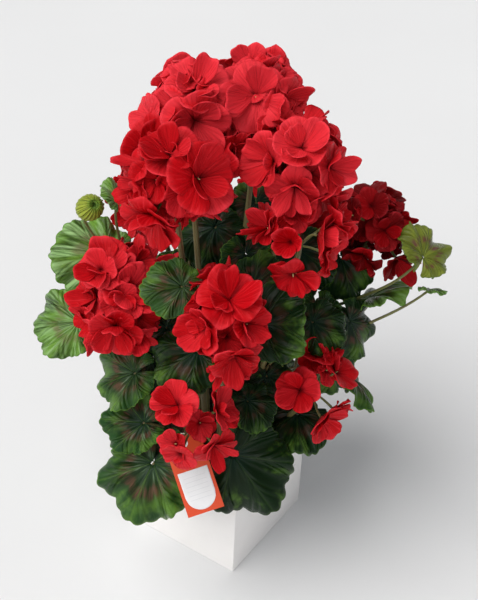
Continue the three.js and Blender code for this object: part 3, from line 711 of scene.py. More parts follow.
def stalk_skin(foliage):
    """Olive stalks with brown streaks along them."""
    skin = Finish("stalk_skin", 0.5, Specular_IOR_Level=0.4)
    along, across, tone = skin.paints()
    streak = skin.noise(1.0, 4, 0.65, skin.painted(along, across, 5.0, 9.0))
    body = skin.mix(skin.ease(streak, 0.35, 0.7), foliage.stalk, STALK_BROWN)
    body = skin.mix(skin.ease(tone, 0.3, 1.0, 0.0, 0.5), body, STALK_GREEN)
    skin.base(body)
    skin.bump(skin.plus(streak, skin.times(skin.noise(600, 2), 0.2)), 0.5, 0.0006)
    return skin.material


def planter_white(planter):
    """Smooth white sheet, with the faintest mottling and handling marks."""
    white = Finish("planter_white", 0.34, Specular_IOR_Level=0.45)
    marks = white.noise(14, 5, 0.65)
    grain = white.noise(420, 3, 0.6)
    body = white.mix(white.ease(marks, 0.45, 0.8, 0.0, 0.5), planter.white,
                     shade(planter.white, 0.93))
    white.base(white.mix(white.ease(grain, 0.62, 0.8, 0.0, 0.2), body, shade(planter.white, 0.88)))
    white.roughness(white.ease(marks, 0.3, 0.8, 0.27, 0.44))
    white.bump(white.scaled(grain, 0.15, marks), 0.12, 0.0006)
    return white.material


def bark_brown(planter):
    """Dark bark and fibre, each chip a little different."""
    bark = Finish("bark_brown", 0.9, Specular_IOR_Level=0.2)
    grain = bark.noise(160, 5, 0.7, stretch=(1, 1, 3))
    tone = bark.paint("tone")
    body = bark.mix(bark.ease(grain, 0.3, 0.7), shade(planter.bark, 0.45), shade(planter.bark, 1.5))
    body = bark.mix(bark.ease(tone, 0.4, 1.0, 0.0, 0.65), body, shade(planter.bark, 3.0))
    bark.base(body)
    bark.bump(grain, 0.9, 0.0015)
    return bark.material


def paper(name, colour_of, roughness, ruled=None):
    """Uncoated card with its fibres, and plain ruled lines where asked for."""
    card = Finish(name, roughness, Specular_IOR_Level=0.35)
    fibre = card.noise(700, 4, 0.7)
    cloud = card.noise(60, 3)
    body = card.mix(card.ease(cloud, 0.3, 0.75, 0.0, 0.5), colour_of, shade(colour_of, 0.9))
    body = card.mix(card.ease(fibre, 0.55, 0.8, 0.0, 0.25), body, shade(colour_of, 0.8))
    if ruled:
        along, across = card.paint("along"), card.paint("across")
        lines = card.math("PINGPONG", card.times(along, ruled), 0.5)
        inside = card.times(card.ease(across, 0.12, 0.15), card.ease(across, 0.88, 0.85),
                            card.ease(along, 0.10, 0.12), card.ease(along, 0.80, 0.78))
        ink = card.times(card.ease(lines, 0.44, 0.48), inside)
        body = card.mix(card.times(ink, 0.42), body, INK_GREY)
    card.base(body)
    card.bump(fibre, 0.25, 0.0003)
    return card.material


def twisted_cotton(tag):
    cotton = Finish("twisted_cotton", 0.85, Sheen_Weight=0.3)
    fibre = cotton.noise(900, 4, 0.7)
    cotton.base(cotton.mix(fibre, shade(tag.string, 0.7), tag.string))
    cotton.bump(fibre, 0.5, 0.0004)
    return cotton.material


def floor_paper(stage):
    floor = Finish("floor_paper", 0.85, Specular_IOR_Level=0.2)
    cloud = floor.noise(2.2, 3, 0.5)
    floor.base(floor.mix(floor.ease(cloud, 0.3, 0.8, 0.0, 0.5), stage.floor,
                         shade(stage.floor, 0.95)))
    floor.bump(floor.noise(240, 3), 0.05, 0.0005)
    return floor.material


# ---- leaves ----------------------------------------------------------------------------
LEAF_ROWS, LEAF_COLUMNS = 17, LOBES * 24 + 1
TEETH = 4


def outline(angle):
    return LEAF_OFFSET * np.cos(angle) + np.sqrt(1 - (LEAF_OFFSET * np.sin(angle)) ** 2)


def leaf_frame(at, heading, pitch, bank):
    h, p, b = (math.radians(x) for x in (heading, pitch, bank))
    tip = Vector((math.cos(p) * math.sin(h), -math.cos(p) * math.cos(h), math.sin(p)))
    side = UP.cross(tip).normalized()
    face = tip.cross(side) * math.cos(b) + side * math.sin(b)
    return basis(tip, face.cross(tip), face, at), tip, face


def leaf_grid(radius, seed, fold):
    """Middle surface of a round, lobed, crenate leaf that lies flat, with its painted numbers."""
    share = np.linspace(0.03, 1, LEAF_ROWS)[:, None] ** 0.9
    step = np.linspace(0, 1, LEAF_COLUMNS)[None, :]
    half_span = math.pi - SINUS
    angle = half_span * (2 * step - 1)
    lobe = LOBES * step
    phase = 2 * math.pi * draw(seed, 1)
    crest = 0.5 - 0.5 * np.cos(2 * math.pi * lobe)
    uneven = 0.02 * np.sin(3 * angle + phase) + 0.02 * np.sin(5 * angle + 2 * phase)
    rise, notch = fold
    uneven = uneven - 0.30 * notch * np.exp(-(angle / 0.45) ** 2)
    tooth = np.abs(np.sin(math.pi * TEETH * lobe + 0.8 * np.sin(2 * angle + phase)))
    rim = 0.92 + 0.09 * np.sqrt(crest) + share ** 8 * (0.046 * tooth - 0.020)
    reach = share * outline(angle) * rim * (1 + uneven * share)
    height = 0.2 * reach - 0.24 * reach ** 2
    height -= 0.035 * reach * np.cos(2 * math.pi * lobe)
    height += 0.05 * reach ** 2 * np.sin(2 * angle + phase)
    height += rise * reach * (np.sqrt(np.sin(angle) ** 2 + 0.02) - 0.14)
    # folds of uneven depth between the veins, veins pressed in, and a softly waved margin
    depth = 1.1 + 1.7 * np.sin(1.7 * angle + phase) ** 2
    height -= 0.055 * depth * reach * np.cos(2 * math.pi * lobe) * (0.35 + 0.65 * share)
    vein = np.exp(-(((lobe % 1) - 0.5) / 0.06) ** 2)
    height -= 0.028 * vein * reach * (1.2 - share)
    height += 0.035 * share ** 4 * np.sin(2 * math.pi * 1.5 * lobe + 3 * phase)
    height += 0.06 * reach ** 2 * np.sin(3 * angle + 2.3 * phase)
    height -= 0.08 * share ** 6 * (0.3 + 0.7 * draw(seed, 2))
    grid = np.stack([reach * np.cos(angle), reach * np.sin(angle), height], -1) * radius
    return grid, share, lobe


def stem_path(name, steps):
    foot = Vector((*STEMS[name][0], SOIL_TOP))
    end = Vector(HEADS[name][0] if name in HEADS else BARE_TOPS[name])
    bow = Vector((*BOWED.get(name, (0, 0)), 0))
    rise = end.z - foot.z
    lean = Vector((end.x - foot.x, end.y - foot.y, 0))
    straight = UP * rise * STEM_BEND["straight"]
    low = foot + straight + lean * STEM_BEND["low_lean"]
    high = end - straight - lean * STEM_BEND["high_lean"] + bow
    return bezier(foot, low, high, end, steps)


def at_height(path, height):
    above = np.nonzero(path[:, 2] >= height)[0]
    return Vector(path[above[0]] if len(above) else path[-1])


def stalk_path(start, end, arrival, steps=14):
    span = (end - start).length
    outward = Vector((end.x - start.x, end.y - start.y, 0)) * STALK_BEND["outward"]
    leave = start + outward + UP * span * STALK_BEND["upward"]
    return bezier(start, leave, end - arrival * span * STALK_BEND["arrival"], end, steps)


def young_leaf(surface, path):
    """The young leaf, still closed: finely pleated layers, drawn together round its middle."""
    at, radius = Vector(YOUNG_LEAF["at"]), YOUNG_LEAF["radius"]
    axis = Vector(YOUNG_LEAF["axis"]).normalized()
    place = UP.rotation_difference(axis).to_matrix().to_4x4()
    place.translation = at
    for layer, (size, closed) in enumerate(YOUNG_LEAF["layers"]):
        share = np.linspace(0.02, 1, 20)[:, None]
        step = np.linspace(0, 1, 161)[None, :]
        fall = share * closed
        pleat = 1 + 0.04 * smooth(share, 0.1, 0.7) * np.cos(2 * math.pi * 19 * step + 2 * layer)
        pleat = pleat + 0.05 * share ** 2 * np.cos(2 * math.pi * 43 * step + layer)
        r = radius * size * pleat * (1 + 0.05 * np.sin(2 * math.pi * 2 * step + layer))
        ring = 2 * math.pi * (step - 0.5) * 0.997
        grid = np.stack([r * np.sin(fall) * np.cos(ring), r * np.sin(fall) * np.sin(ring),
                         -r * np.cos(fall)], -1)
        surface.sheet(grid, YOUNG_LEAF["half"], SHEET, 0.75 + 0.25 * share, 6.5 * step,
                      0.97 - 0.15 * layer, place)
    start = at_height(path, YOUNG_LEAF["from"])
    stalk = stalk_path(start, at - axis * radius * 0.9, axis)
    surface.tube(stalk, np.linspace(STALK_RADIUS, 1.1, len(stalk)), 8, STALK, 0.7)


def leafy_stem(name, number, foliage, finishes):
    """One stem with its stalks and leaves."""
    foot, leaves = STEMS[name]
    leaves = leaves + INNER_LEAVES.get(name, ())
    surface = Surface()
    fine = stem_path(name, SMOOTH_STEPS)
    below = np.array([[*foot, SOIL_TOP - depth] for depth in BURIED])
    path = np.concatenate([below, stem_path(name, STEM_STEPS)])
    girth = np.full(len(path), STEM_RADIUS) * np.linspace(*STEM_TAPER, len(path))
    for leaf in leaves:
        near = (path[:, 2] - leaf[5]) / KNOT["length"]
        girth += KNOT["girth"] * np.exp(-near ** 2)
    surface.tube(path, girth, 12, STALK, 0.15 + 0.3 * draw(number, 3))
    half = foliage.thickness / MM / 2
    for i, (at, heading, pitch, bank, radius, start, light) in enumerate(leaves):
        place, tip, face = leaf_frame(at, heading, pitch, bank)
        grid, share, lobe = leaf_grid(radius, 10 * number + i, FOLDED.get((name, i), (0, 0)))
        surface.sheet(grid, half, SHEET, share, lobe, light, place)
        end = Vector(at) + tip * 0.05 * radius - face * 0.6
        stalk = stalk_path(at_height(fine, start), end, (tip + face).normalized())
        surface.tube(stalk, np.linspace(STALK_RADIUS * 1.15, STALK_RADIUS * 0.8, len(stalk)),
                     8, STALK, 0.35 + 0.5 * light)
    if name == YOUNG_LEAF["stem"]:
        young_leaf(surface, fine)
    node = "leafy_stem_" + name
    return surface.piece(node + "_fine", finishes, node, "leaf")


# ---- flower heads ----------------------------------------------------------------------
PETAL_STEPS = (13, 17)
HIDDEN_PETAL_STEPS = (7, 9)


def floret_places(name):
    """The listed florets of a head, then more on its open sides, as (axis, reach)."""
    at, head_reach, _, count, listed = HEADS[name]
    places = [(direction(heading, rise), reach) for heading, rise, reach in listed]
    others = [Vector(head[0]) for other, head in HEADS.items() if other != name]
    for i in range(60):
        if len(places) >= count:
            break
        candidate = direction(GOLDEN_TURN * i, 75 - 1.9 * i)
        tip = Vector(at) + candidate * head_reach
        crowded = any(axis.angle(candidate) < FLORET_SPACING for axis, _ in places)
        blocked = any((other - tip).length < NEIGHBOUR_CLEAR for other in others)
        if not crowded and not blocked:
            places.append((candidate, head_reach))
    return places


def petal_grid(radius, turn, seed, lift, ruffle, spread=47, steps=PETAL_STEPS):
    """Middle surface of one broad waved petal, fanned out from the floret's throat."""
    row = np.linspace(0, 1, steps[0])[:, None] ** 0.85
    v = np.linspace(-1, 1, steps[1])[None, :]
    full = 1 - 0.33 * np.abs(v) ** 2.3 + 0.10 * v * (draw(seed, 11) - 0.5)
    full = full - 0.08 * draw(seed, 5) * np.exp(-(v / 0.22) ** 2)
    full = full * (0.93 + 0.12 * draw(seed, 6)) + 0.012 * np.sin(6 * v + 6.28 * draw(seed, 7))
    reach = 0.01 + (full - 0.01) * row
    angle = turn + v * math.radians(spread) * (0.78 + 0.40 * row - 0.18 * row ** 3)
    first, second = 2 * math.pi * draw(seed, 8), 2 * math.pi * draw(seed, 9)
    # a cup at the throat that flares, a pillowed middle, one edge over the next petal
    height = -0.12 + 0.52 * reach * (1 - 0.45 * reach) + (lift - 0.16) * reach ** 2
    pillow = 0.20 - 0.34 * draw(seed, 12)
    height = height + pillow * (1 - v ** 2) * reach * (1.2 - reach)
    height = height + 0.055 * v * (0.2 + reach)
    # waves that grow toward the margin, and a margin that rolls back or up
    height = height + 0.095 * ruffle * reach ** 2 * np.sin(math.pi * 1.1 * v + first)
    height = height + 0.042 * ruffle * reach ** 3 * np.sin(math.pi * 2.3 * v + second)
    # one side of the petal curls up
    side = v if draw(seed, 13) > 0.5 else -v
    height = height + 0.34 * draw(seed, 14) ** 2 * smooth(side, 0.30, 1.05) * reach ** 2
    roll = 0.30 * draw(seed, 10) - 0.08
    height = height - roll * smooth(reach, 0.60, 1.1) * (0.5 + 0.5 * v * v)
    height = height - 0.030 * np.exp(-(v / 0.08) ** 2) * np.sin(math.pi * np.clip(reach, 0, 1))
    height = height + 0.008 * np.sin(23 * v + first) * reach * (1.1 - reach)
    grid = np.stack([reach * np.cos(angle), reach * np.sin(angle), height], -1) * radius
    return grid, reach, v


def floret(surface, place, radius, seed, half, cup, inner, head_light, steps):
    """Five overlapping petals, upright inner ones on fuller florets, and the throat."""
    ruffle = 0.5 + 1.2 * draw(seed, 31)
    # the floret's tone varies at random and is shifted by its head's painted light and shade
    tone = 0.2 + 0.25 * draw(seed, 32) + head_light
    for k in range(PETALS):
        one = seed + 0.37 * (k + 1)
        turn = 2 * math.pi * k / PETALS + 0.30 * (draw(one, 1) - 0.5)
        lift = 0.02 + 0.2 * draw(seed, k) + 0.30 * (draw(one, 3) - 0.4) + cup
        grid, reach, v = petal_grid(radius, turn, one, lift, ruffle, steps=steps)
        surface.sheet(grid, half, SHEET, reach, v, tone + 0.4 * draw(one, 2), place)
    for k in range(inner):
        one = seed + 0.61 * (k + 1)
        turn = 2 * math.pi * draw(seed, 40) + INNER_PETAL_TURN * k
        lift = 0.55 + 0.9 * draw(one, 3)
        size = radius * (0.60 + 0.32 * draw(one, 4))
        grid, reach, v = petal_grid(size, turn, one, lift, 1.3 * ruffle, 46, steps)
        surface.sheet(grid, half, SHEET, 0.1 + 0.85 * reach, v, tone + 0.4 * draw(one, 2), place)
    if draw(seed, 34) < BARE_THROATS:
        return
    pin = np.array([[0, 0, -0.16], [0, 0, -0.04], [0.02, 0.01, 0.03]]) * radius
    surface.tube(placed(pin, place), [0.9, 0.7, 0.4], 6, PIN, 0.5)


def flower_head(name, number, bloom, finishes):
    """One head: its florets, smaller ones deeper in, and the stalks that they stand on."""
    at, head_reach, width, _, _ = HEADS[name]
    middle = Vector(at)
    surface = Surface()
    half = bloom.thickness / MM / 2
    places = floret_places(name)
    grown = []
    for i, (axis, reach) in enumerate(places):
        seed = 100 * number + 10 * i
        fullness = 0 if axis.z > FACING_UP else 1 + int(4 * draw(seed, 30))
        usual = (1, 0.25 * draw(seed, 33) ** 2, fullness)
        share, cup, inner = ODD_FLORETS.get(name, {}).get(i, usual)
        radius = width * (0.94 + 0.12 * draw(seed, 20)) / 2 * share
        grown.append((axis, middle + axis * reach, radius, seed, cup, inner, PETAL_STEPS))
    for i, (spot, heading, rise, size) in enumerate(CLOSING_FLORETS.get(name, ())):
        seed = 100 * number + 10 * i + 3
        axis = direction(heading, rise)
        cup, inner = 0.4 * draw(seed, 33), int(3 * draw(seed, 30))
        grown.append((axis, Vector(spot), size / 2, seed, cup, inner, PETAL_STEPS))
    for share, count, clear, size in () if name in LOOSE_HEADS else INNER_SHELLS:
        for i in range(count):
            axis = direction(GOLDEN_TURN * i + 31, 84 - 150 * i / count)
            near = min(math.degrees(axis.angle(other)) for other, _ in places)
            if near > clear:
                seed = 100 * number + 10 * i + 5
                spot = middle + axis * head_reach * share
                grown.append((axis, spot, width * size, seed, 0.2, 1, HIDDEN_PETAL_STEPS))
    for axis, spot, radius, seed, cup, inner, steps in grown:
        spin = Matrix.Rotation(2 * math.pi * draw(seed, 21), 4, "Z")
        place = UP.rotation_difference(axis).to_matrix().to_4x4() @ spin
        place.translation = spot
        floret(surface, place, radius, seed, half, cup, inner, HEAD_LIGHT.get(name, 0), steps)
        back = spot - axis * 0.14 * radius
        start = middle - UP * 6
        leave = start + (back - start) * 0.3 + UP * 3
        stalk = bezier(start, leave, back - axis * (back - start).length * 0.3, back, 8)
        surface.tube(stalk, np.linspace(0.9, 1.3, len(stalk)), 6, STALK, 0.6 + 0.3 * draw(seed, 31))
    node = "flower_head_" + name
    return surface.piece(node + "_fine", finishes, node, "petal")


# ---- planter and filler ----------------------------------------------------------------
def planter_shell(planter):
    """The open cube, made from one block by an inset and a pushed-in floor, edges rounded."""
    low, high = PLANTER_LOW, PLANTER_HIGH
    size, middle = high - low, (low + high) / 2
    bm = bmesh.new()
    place = Matrix.Translation(middle) @ Matrix.Diagonal((*size, 1))
    bmesh.ops.create_cube(bm, size=1, matrix=place)
    top = max(bm.faces, key=lambda face: face.calc_center_median().z)
    bmesh.ops.inset_region(bm, faces=[top], thickness=planter.wall)
    moved = bmesh.ops.extrude_face_region(bm, geom=[top])
    bmesh.ops.delete(bm, geom=[top], context="FACES")
    verts = [v for v in moved["geom"] if isinstance(v, bmesh.types.BMVert)]
    bmesh.ops.translate(bm, verts=verts, vec=(0, 0, planter.wall - size.z))
    bmesh.ops.recalc_face_normals(bm, faces=bm.faces)
    bmesh.ops.bevel(bm, geom=bm.edges[:], offset=planter.edge, segments=3, profile=0.5,
                    affect="EDGES")
    mesh = bpy.data.meshes.new("planter_shell")
    bm.to_mesh(mesh)
    bm.free()
    mesh.shade_smooth()
    mesh.set_sharp_from_angle(angle=math.radians(40))
    return mesh


def filler_height(x, y):
    """Height of the bark's top in millimetres at that place in the planter."""
    lumps = noise.noise(Vector((x, y, 0)) * 0.055) * 2.2
    lumps = lumps + noise.noise(Vector((x, y, 9)) * 0.17) * 1.3
    edge = max(abs(x), abs(y)) / BARK["half_width"]
    return FILLER_HIGH.z / MM - BARK["sunk"] + lumps - BARK["edge_drop"] * edge ** 8


def bark_bed(surface):
    """The filler as one closed body with an uneven top."""
    side = (FILLER_HIGH.x - FILLER_LOW.x) / MM / 2
    steps = 64
    line = np.linspace(-side, side, steps + 1)
    top = np.array([[(x, y, filler_height(x, y)) for y in line] for x in line])
    quads, rim = grid_faces(steps + 1, steps + 1)
    foot = top.reshape(-1, 3)[rim]
    foot[:, 2] = FILLER_LOW.z / MM
    low = np.arange(len(rim)) + (steps + 1) ** 2
    faces = [*quads, *side_faces(rim, low), low[::-1]]
    surface.add(np.concatenate([top.reshape(-1, 3), foot]), faces, 0, 0, 0, 0.2)


def bark_chip(surface, i):
    """One loose chip: a flat, split, eight-cornered flake."""
    span = BARK["chips_within"]
    x, y = (span * draw(i, k) - span / 2 for k in (1, 2))
    size = Vector((3 + 6 * draw(i, 3) ** 2, 2 + 3 * draw(i, 4), 0.8 + 1.2 * draw(i, 5)))
    corners = []
    for k in range(8):
        sign = Vector(((k & 1) * 2 - 1, (k >> 1 & 1) * 2 - 1, (k >> 2) * 2 - 1))
        wear = [0.6 + 0.55 * draw(i, 10 + 3 * k + axis) for axis in range(3)]
        corners.append(Vector(sign[a] * size[a] / 2 * wear[a] for a in range(3)))
    turn = Matrix.Rotation(6.28 * draw(i, 6), 3, "Z")
    turn = turn @ Matrix.Rotation(0.8 * (draw(i, 7) - 0.5), 3, "X")
    turn = turn @ Matrix.Rotation(0.9 * (draw(i, 8) - 0.5), 3, "Y")
    at = Vector((x, y, filler_height(x, y) + 0.5))
    faces = ((0, 2, 3, 1), (4, 5, 7, 6), (0, 1, 5, 4), (2, 6, 7, 3), (0, 4, 6, 2), (1, 3, 7, 5))
    surface.add([at + turn @ c for c in corners], faces, 0, 0, 0, draw(i, 9))


# ---- hang tag --------------------------------------------------------------------------
def tag_frame():
    face = direction(0, TAG["rise"])
    level = Vector((1, 0, 0))
    roll = math.radians(TAG["roll"])
    across = level * math.cos(roll) + face.cross(level) * math.sin(roll)
    return basis(across, face.cross(across), face, TAG["at"])


def flat_shape(name, outlines, low, high, edge):
    """A plate with that outline and holes, its faces at two heights, with broken edges."""
    flat = bpy.data.curves.new(name, "CURVE")
    flat.dimensions, flat.fill_mode = "2D", "BOTH"
    flat.extrude, flat.bevel_depth, flat.bevel_resolution = (high - low) / 2 - edge, edge, 1
    for points in outlines:
        spline = flat.splines.new("POLY")
        spline.points.add(len(points) - 1)
        for point, (x, y) in zip(spline.points, points):
            point.co = (x, y, 0, 1)
        spline.use_cyclic_u = True
    holder = bpy.data.objects.new(name, flat)
    mesh = bpy.data.meshes.new_from_object(holder)
    bpy.data.objects.remove(holder)
    bpy.data.curves.remove(flat)
    mesh.transform(TO_FRAME @ tag_frame() @ Matrix.Translation((0, 0, (high + low) / 2)))
    mesh.name = name
    return mesh


def circle(x, y, radius, steps=28):
    angles = np.radians(np.linspace(0, 360, steps + 1))[:-1]
    return [(x + radius * math.cos(a), y + radius * math.sin(a)) for a in angles]


def card_outline(inset):
    x, y = TAG["width"] / 2 - inset, TAG["height"] / 2 - inset
    c = TAG["chamfer"] - 0.4 * inset
    return [(-x, -y), (x, -y), (x, y - c), (x - c, y), (c - x, y), (-x, y - c)]


def round_loop(points, steps):
    """A smooth closed line through these points."""
    points = np.array(points, float)
    a, b, c, d = (np.roll(points, shift, axis=0)[:, None] for shift in (1, 0, -1, -2))
    t = np.linspace(0, 1, steps, endpoint=False)[None, :, None]
    line = 0.5 * (2 * b + (c - a) * t + (2 * a - 5 * b + 4 * c - d) * t ** 2
                  + (3 * b - a - 3 * c + d) * t ** 3)
    return line.reshape(-1, 3)


def closed_strand(surface, centre, phase):
    """One ply of the string, wound round the closed centre line."""
    count = len(centre)
    ahead = np.roll(centre, -1, axis=0) - np.roll(centre, 1, axis=0)
    ahead /= np.linalg.norm(ahead, axis=1, keepdims=True)
    side = np.cross(ahead, (0.2, 0.3, 1.0))
    side /= np.linalg.norm(side, axis=1, keepdims=True)
    other = np.cross(ahead, side)
    turn = (np.arange(count) / count * STRING["twists"] * 2 * math.pi + phase)[:, None]
    path = centre + STRING["ply_out"] * (np.cos(turn) * side + np.sin(turn) * other)
    sides = 7
    around = np.arange(sides) * 2 * math.pi / sides
    ring = (np.cos(around)[None, :, None] * side[:, None]
            + np.sin(around)[None, :, None] * other[:, None])
    rings = path[:, None] + STRING["ply"] * ring
    index = np.arange(count * sides).reshape(count, sides)
    after, following = np.roll(index, -1, axis=1), np.roll(index, -1, axis=0)
    far = np.roll(following, -1, axis=1)
    quads = np.stack([index, after, far, following], -1).reshape(-1, 4)
    surface.add(rings.reshape(-1, 3), quads, 0, 0, 0, 0.5)


# ---- operators -------------------------------------------------------------------------
def put_up(name, data, place):
    """Puts a light or the camera at its place in the plant's own frame."""
    place = TO_FRAME @ place
    holder = bpy.data.objects.new(name, data)
    holder.location = place.translation
    holder.rotation_euler = place.to_3x3().normalized().to_euler()
    bpy.context.scene.collection.objects.link(holder)
    return holder


class GERANIUM_OT_stage(Operator):
    """Sets the floor, the soft studio light and the camera"""
    bl_idname = "geranium.stage"
    bl_label = "Stage"

    def execute(self, context):
        stage = context.scene.geranium_stage
        scene = context.scene
        scene.view_settings.view_transform = "Standard"
        bpy.ops.mesh.primitive_plane_add(size=60)
        floor = context.object
        floor.name = "floor"
        floor.data.materials.append(floor_paper(stage))
        scene.world = self.room(stage.sky)
        self.front_lamp(stage.front)
        self.window(stage.key)
        self.camera(scene)
        return {"FINISHED"}

    def room(self, strength):
        """Even pale light from all round, paler toward the walls."""
        world = bpy.data.worlds.new("room_light")
        world.use_nodes = True
        tree = world.node_tree
        sky = tree.nodes["Background"]
        sky.inputs["Color"].default_value = ROOM["colour"]
        place = tree.nodes.new("ShaderNodeTexCoord")
        split = tree.nodes.new("ShaderNodeSeparateXYZ")
        fade = tree.nodes.new("ShaderNodeMapRange")
        fade.interpolation_type = "SMOOTHSTEP"
        levels = (ROOM["low"], ROOM["high"], ROOM["floor_level"], strength)
        for socket, value in zip(fade.inputs[1:5], levels):
            socket.default_value = value
        tree.links.new(place.outputs["Generated"], split.inputs[0])
        tree.links.new(split.outputs["Z"], fade.inputs[0])
        tree.links.new(fade.outputs[0], sky.inputs["Strength"])
        return world

    def window(self, strength):
        """The main light: a very soft one from the upper left."""
        lamp = bpy.data.lights.new("window", "SUN")
        lamp.energy, lamp.color = strength, WINDOW["colour"]
        lamp.angle = math.radians(WINDOW["spread"])
        holder = bpy.data.objects.new("window", lamp)
        away = TO_FRAME.to_3x3() @ Vector(WINDOW["away"])
        holder.rotation_euler = away.to_track_quat("Z", "Y").to_euler()
        bpy.context.scene.collection.objects.link(holder)

    def front_lamp(self, power):
        """A faint light from the camera's side."""
        lamp = bpy.data.lights.new("front", "AREA")
        lamp.size, lamp.energy = FRONT_LAMP["size"] * MM, power
        away = Vector(FRONT_LAMP["at"]) - Vector(FRONT_LAMP["target"])
        turn = away.to_track_quat("Z", "Y").to_matrix().to_4x4()
        put_up("front", lamp, Matrix.Translation(FRONT_LAMP["at"]) @ turn)

    def camera(self, scene):
        """The camera: it looks down on the bush from the front, and is slightly rolled."""
        down, roll = math.radians(CAMERA["down"]), math.radians(CAMERA["roll"])
        ahead = Vector((0, math.cos(down), -math.sin(down)))
        right = Vector((1, 0, 0))
        upward = right.cross(ahead)
        tilted = right * math.cos(roll) + upward * math.sin(roll)
        upward = upward * math.cos(roll) - right * math.sin(roll)
        lens = bpy.data.cameras.new("camera")
        lens.lens = CAMERA["lens"]
        scene.camera = put_up("camera", lens, basis(tilted, upward, -ahead, CAMERA["at"]))


class GERANIUM_OT_planter(Operator):
    """Makes the open white cube with its rounded edges"""
    bl_idname = "geranium.planter"
    bl_label = "Planter"

    def execute(self, context):
        planter = context.scene.geranium_planter
        mesh = planter_shell(planter)
        mesh.materials.append(planter_white(planter))
        settle(bpy.data.objects.new("planter_shell", mesh), "planter_box")
        return {"FINISHED"}


class GERANIUM_OT_filler(Operator):
    """Fills the planter with dark bark and lays loose chips on it"""
    bl_idname = "geranium.filler"
    bl_label = "Potting filler"

    def execute(self, context):
        planter = context.scene.geranium_planter
        surface = Surface()
        bark_bed(surface)
        for i in range(planter.chips):
            bark_chip(surface, i)
        piece = surface.piece("potting_bark", [bark_brown(planter)], "potting_filler", "filler",
                              Matrix.Scale(MM, 4))
        piece.data.set_sharp_from_angle(angle=math.radians(35))
        return {"FINISHED"}


class GERANIUM_OT_leafy_stems(Operator):
    """Makes every stem with its stalks and its printed, lobed leaves"""
    bl_idname = "geranium.leafy_stems"
    bl_label = "Leafy stems"

    def execute(self, context):
        foliage = context.scene.geranium_foliage
        finishes = [leaf_cloth(foliage), stalk_skin(foliage)]
        for number, name in enumerate(STEMS):
            leafy_stem(name, number, foliage, finishes)
        return {"FINISHED"}


class GERANIUM_OT_flower_heads(Operator):
    """Makes every flower head from its waved, overlapping petals"""
    bl_idname = "geranium.flower_heads"
    bl_label = "Flower heads"

    def execute(self, context):
        bloom = context.scene.geranium_bloom
        stalk = bpy.data.materials["stalk_skin"]
        pin = paper("throat_pin", PIN_YELLOW, 0.6)
        finishes = [petal_cloth(bloom), stalk, pin]
        for number, name in enumerate(HEADS):
            flower_head(name, number, bloom, finishes)
        return {"FINISHED"}


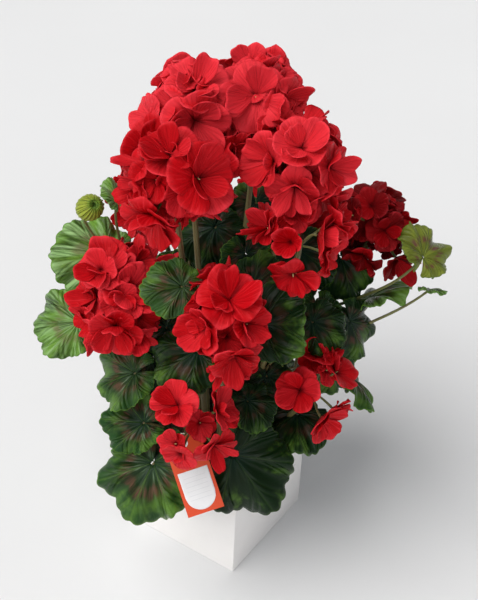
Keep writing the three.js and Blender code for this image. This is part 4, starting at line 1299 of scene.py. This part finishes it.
class GERANIUM_OT_hang_tag(Operator):
    """Makes the card, its plain ruled panel, the ring round its hole and the twisted string"""
    bl_idname = "geranium.hang_tag"
    bl_label = "Hang tag"

    def execute(self, context):
        tag = context.scene.geranium_tag
        hole = (0, TAG["height"] / 2 - TAG["hole_drop"])
        outlines = [card_outline(CARD_EDGE), circle(*hole, TAG["hole"] + CARD_EDGE)]
        card = flat_shape("tag_card", outlines, 0, TAG["thick"], CARD_EDGE)
        card.materials.append(paper("tag_card", tag.card, 0.5))
        settle(bpy.data.objects.new("tag_card", card), "hang_tag")
        self.ring(hole)
        self.panel(tag)
        self.string(tag)
        return {"FINISHED"}

    def ring(self, hole):
        outlines = [circle(*hole, RING["radius"]), circle(*hole, TAG["hole"] + RING["play"])]
        ring = flat_shape("tag_ring", outlines, TAG["thick"] - RING["sunk"],
                          TAG["thick"] + RING["proud"], RING["edge"])
        ring.materials.append(paper("ring_white", RING_WHITE, 0.55))
        settle(bpy.data.objects.new("tag_ring", ring), None)

    def panel(self, tag):
        """A thin pasted panel, square at its top and round at its foot."""
        surface = Surface()
        half_width, top, centre = PANEL["half_width"], PANEL["top"], PANEL["centre"]
        rows, columns = 40, 24
        up = np.linspace(0, 1, rows)[:, None]
        side = np.linspace(-1, 1, columns)[None, :]
        foot = centre - np.sqrt(np.clip(1 - side ** 2, 0, 1)) * half_width
        y = top + (foot - top) * up
        x = side * half_width + 0 * up
        z = np.full_like(y, TAG["thick"] + PANEL["lift"])
        grid = np.stack([x, y, z], -1)
        along = (top - y) / (top - centre + half_width)
        surface.sheet(grid, PANEL["half"], 0, along, (side + 1) / 2, 0.5)
        white = paper("panel_white", tag.panel, 0.6, ruled=PANEL["ruled"])
        surface.piece("tag_panel", [white], None, "tag", TO_FRAME @ tag_frame())

    def string(self, tag):
        path = stem_path(STRING["stem"], SMOOTH_STEPS)
        card = tag_frame()
        top = TAG["height"] / 2

        def on_card(spot):
            return card @ Vector((0, top + spot[0], spot[1]))

        def round_stem(spot):
            away = Vector((spot[0], spot[1], 0)) * STRING["stand_off"]
            return at_height(path, STRING["knot_height"] + spot[2]) + away

        points = [on_card(p) for p in LOOP_FRONT] + [round_stem(p) for p in LOOP_STEM]
        points += [on_card(p) for p in LOOP_BACK]
        centre = round_loop(points, 24)
        surface = Surface()
        for phase in (0, math.pi):
            closed_strand(surface, centre, phase)
        surface.piece("tag_string_fine", [twisted_cotton(tag)], "tag_string", "string")


class GERANIUM_PT_panel(Panel):
    """Lists the geranium's pieces and their settings"""
    bl_label = "Potted Geranium"
    bl_space_type = "VIEW_3D"
    bl_region_type = "UI"
    bl_category = "Geranium"

    def draw(self, context):
        for group_name, (_, operators) in GROUPS.items():
            box = self.layout.box()
            settings = getattr(context.scene, group_name)
            for name in settings.__annotations__:
                box.prop(settings, name)
            for operator in operators:
                box.operator(operator.bl_idname)


# Each group of settings with the operators that use it, in the order in which they run.
GROUPS = {
    "geranium_stage": (StageSettings, (GERANIUM_OT_stage,)),
    "geranium_planter": (PlanterSettings, (GERANIUM_OT_planter, GERANIUM_OT_filler)),
    "geranium_foliage": (FoliageSettings, (GERANIUM_OT_leafy_stems,)),
    "geranium_bloom": (BloomSettings, (GERANIUM_OT_flower_heads,)),
    "geranium_tag": (TagSettings, (GERANIUM_OT_hang_tag,)),
}


def register():
    for name, (settings, operators) in GROUPS.items():
        bpy.utils.register_class(settings)
        setattr(bpy.types.Scene, name, PointerProperty(type=settings))
        for operator in operators:
            bpy.utils.register_class(operator)
    bpy.utils.register_class(GERANIUM_PT_panel)


def unregister():
    bpy.utils.unregister_class(GERANIUM_PT_panel)
    for name, (settings, operators) in GROUPS.items():
        for operator in operators:
            bpy.utils.unregister_class(operator)
        delattr(bpy.types.Scene, name)
        bpy.utils.unregister_class(settings)


def main():
    register()
    bpy.ops.geranium.stage()
    bpy.ops.geranium.planter()
    bpy.ops.geranium.filler()
    bpy.ops.geranium.leafy_stems()
    bpy.ops.geranium.flower_heads()
    bpy.ops.geranium.hang_tag()
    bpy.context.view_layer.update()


if __name__ == "__main__":
    main()
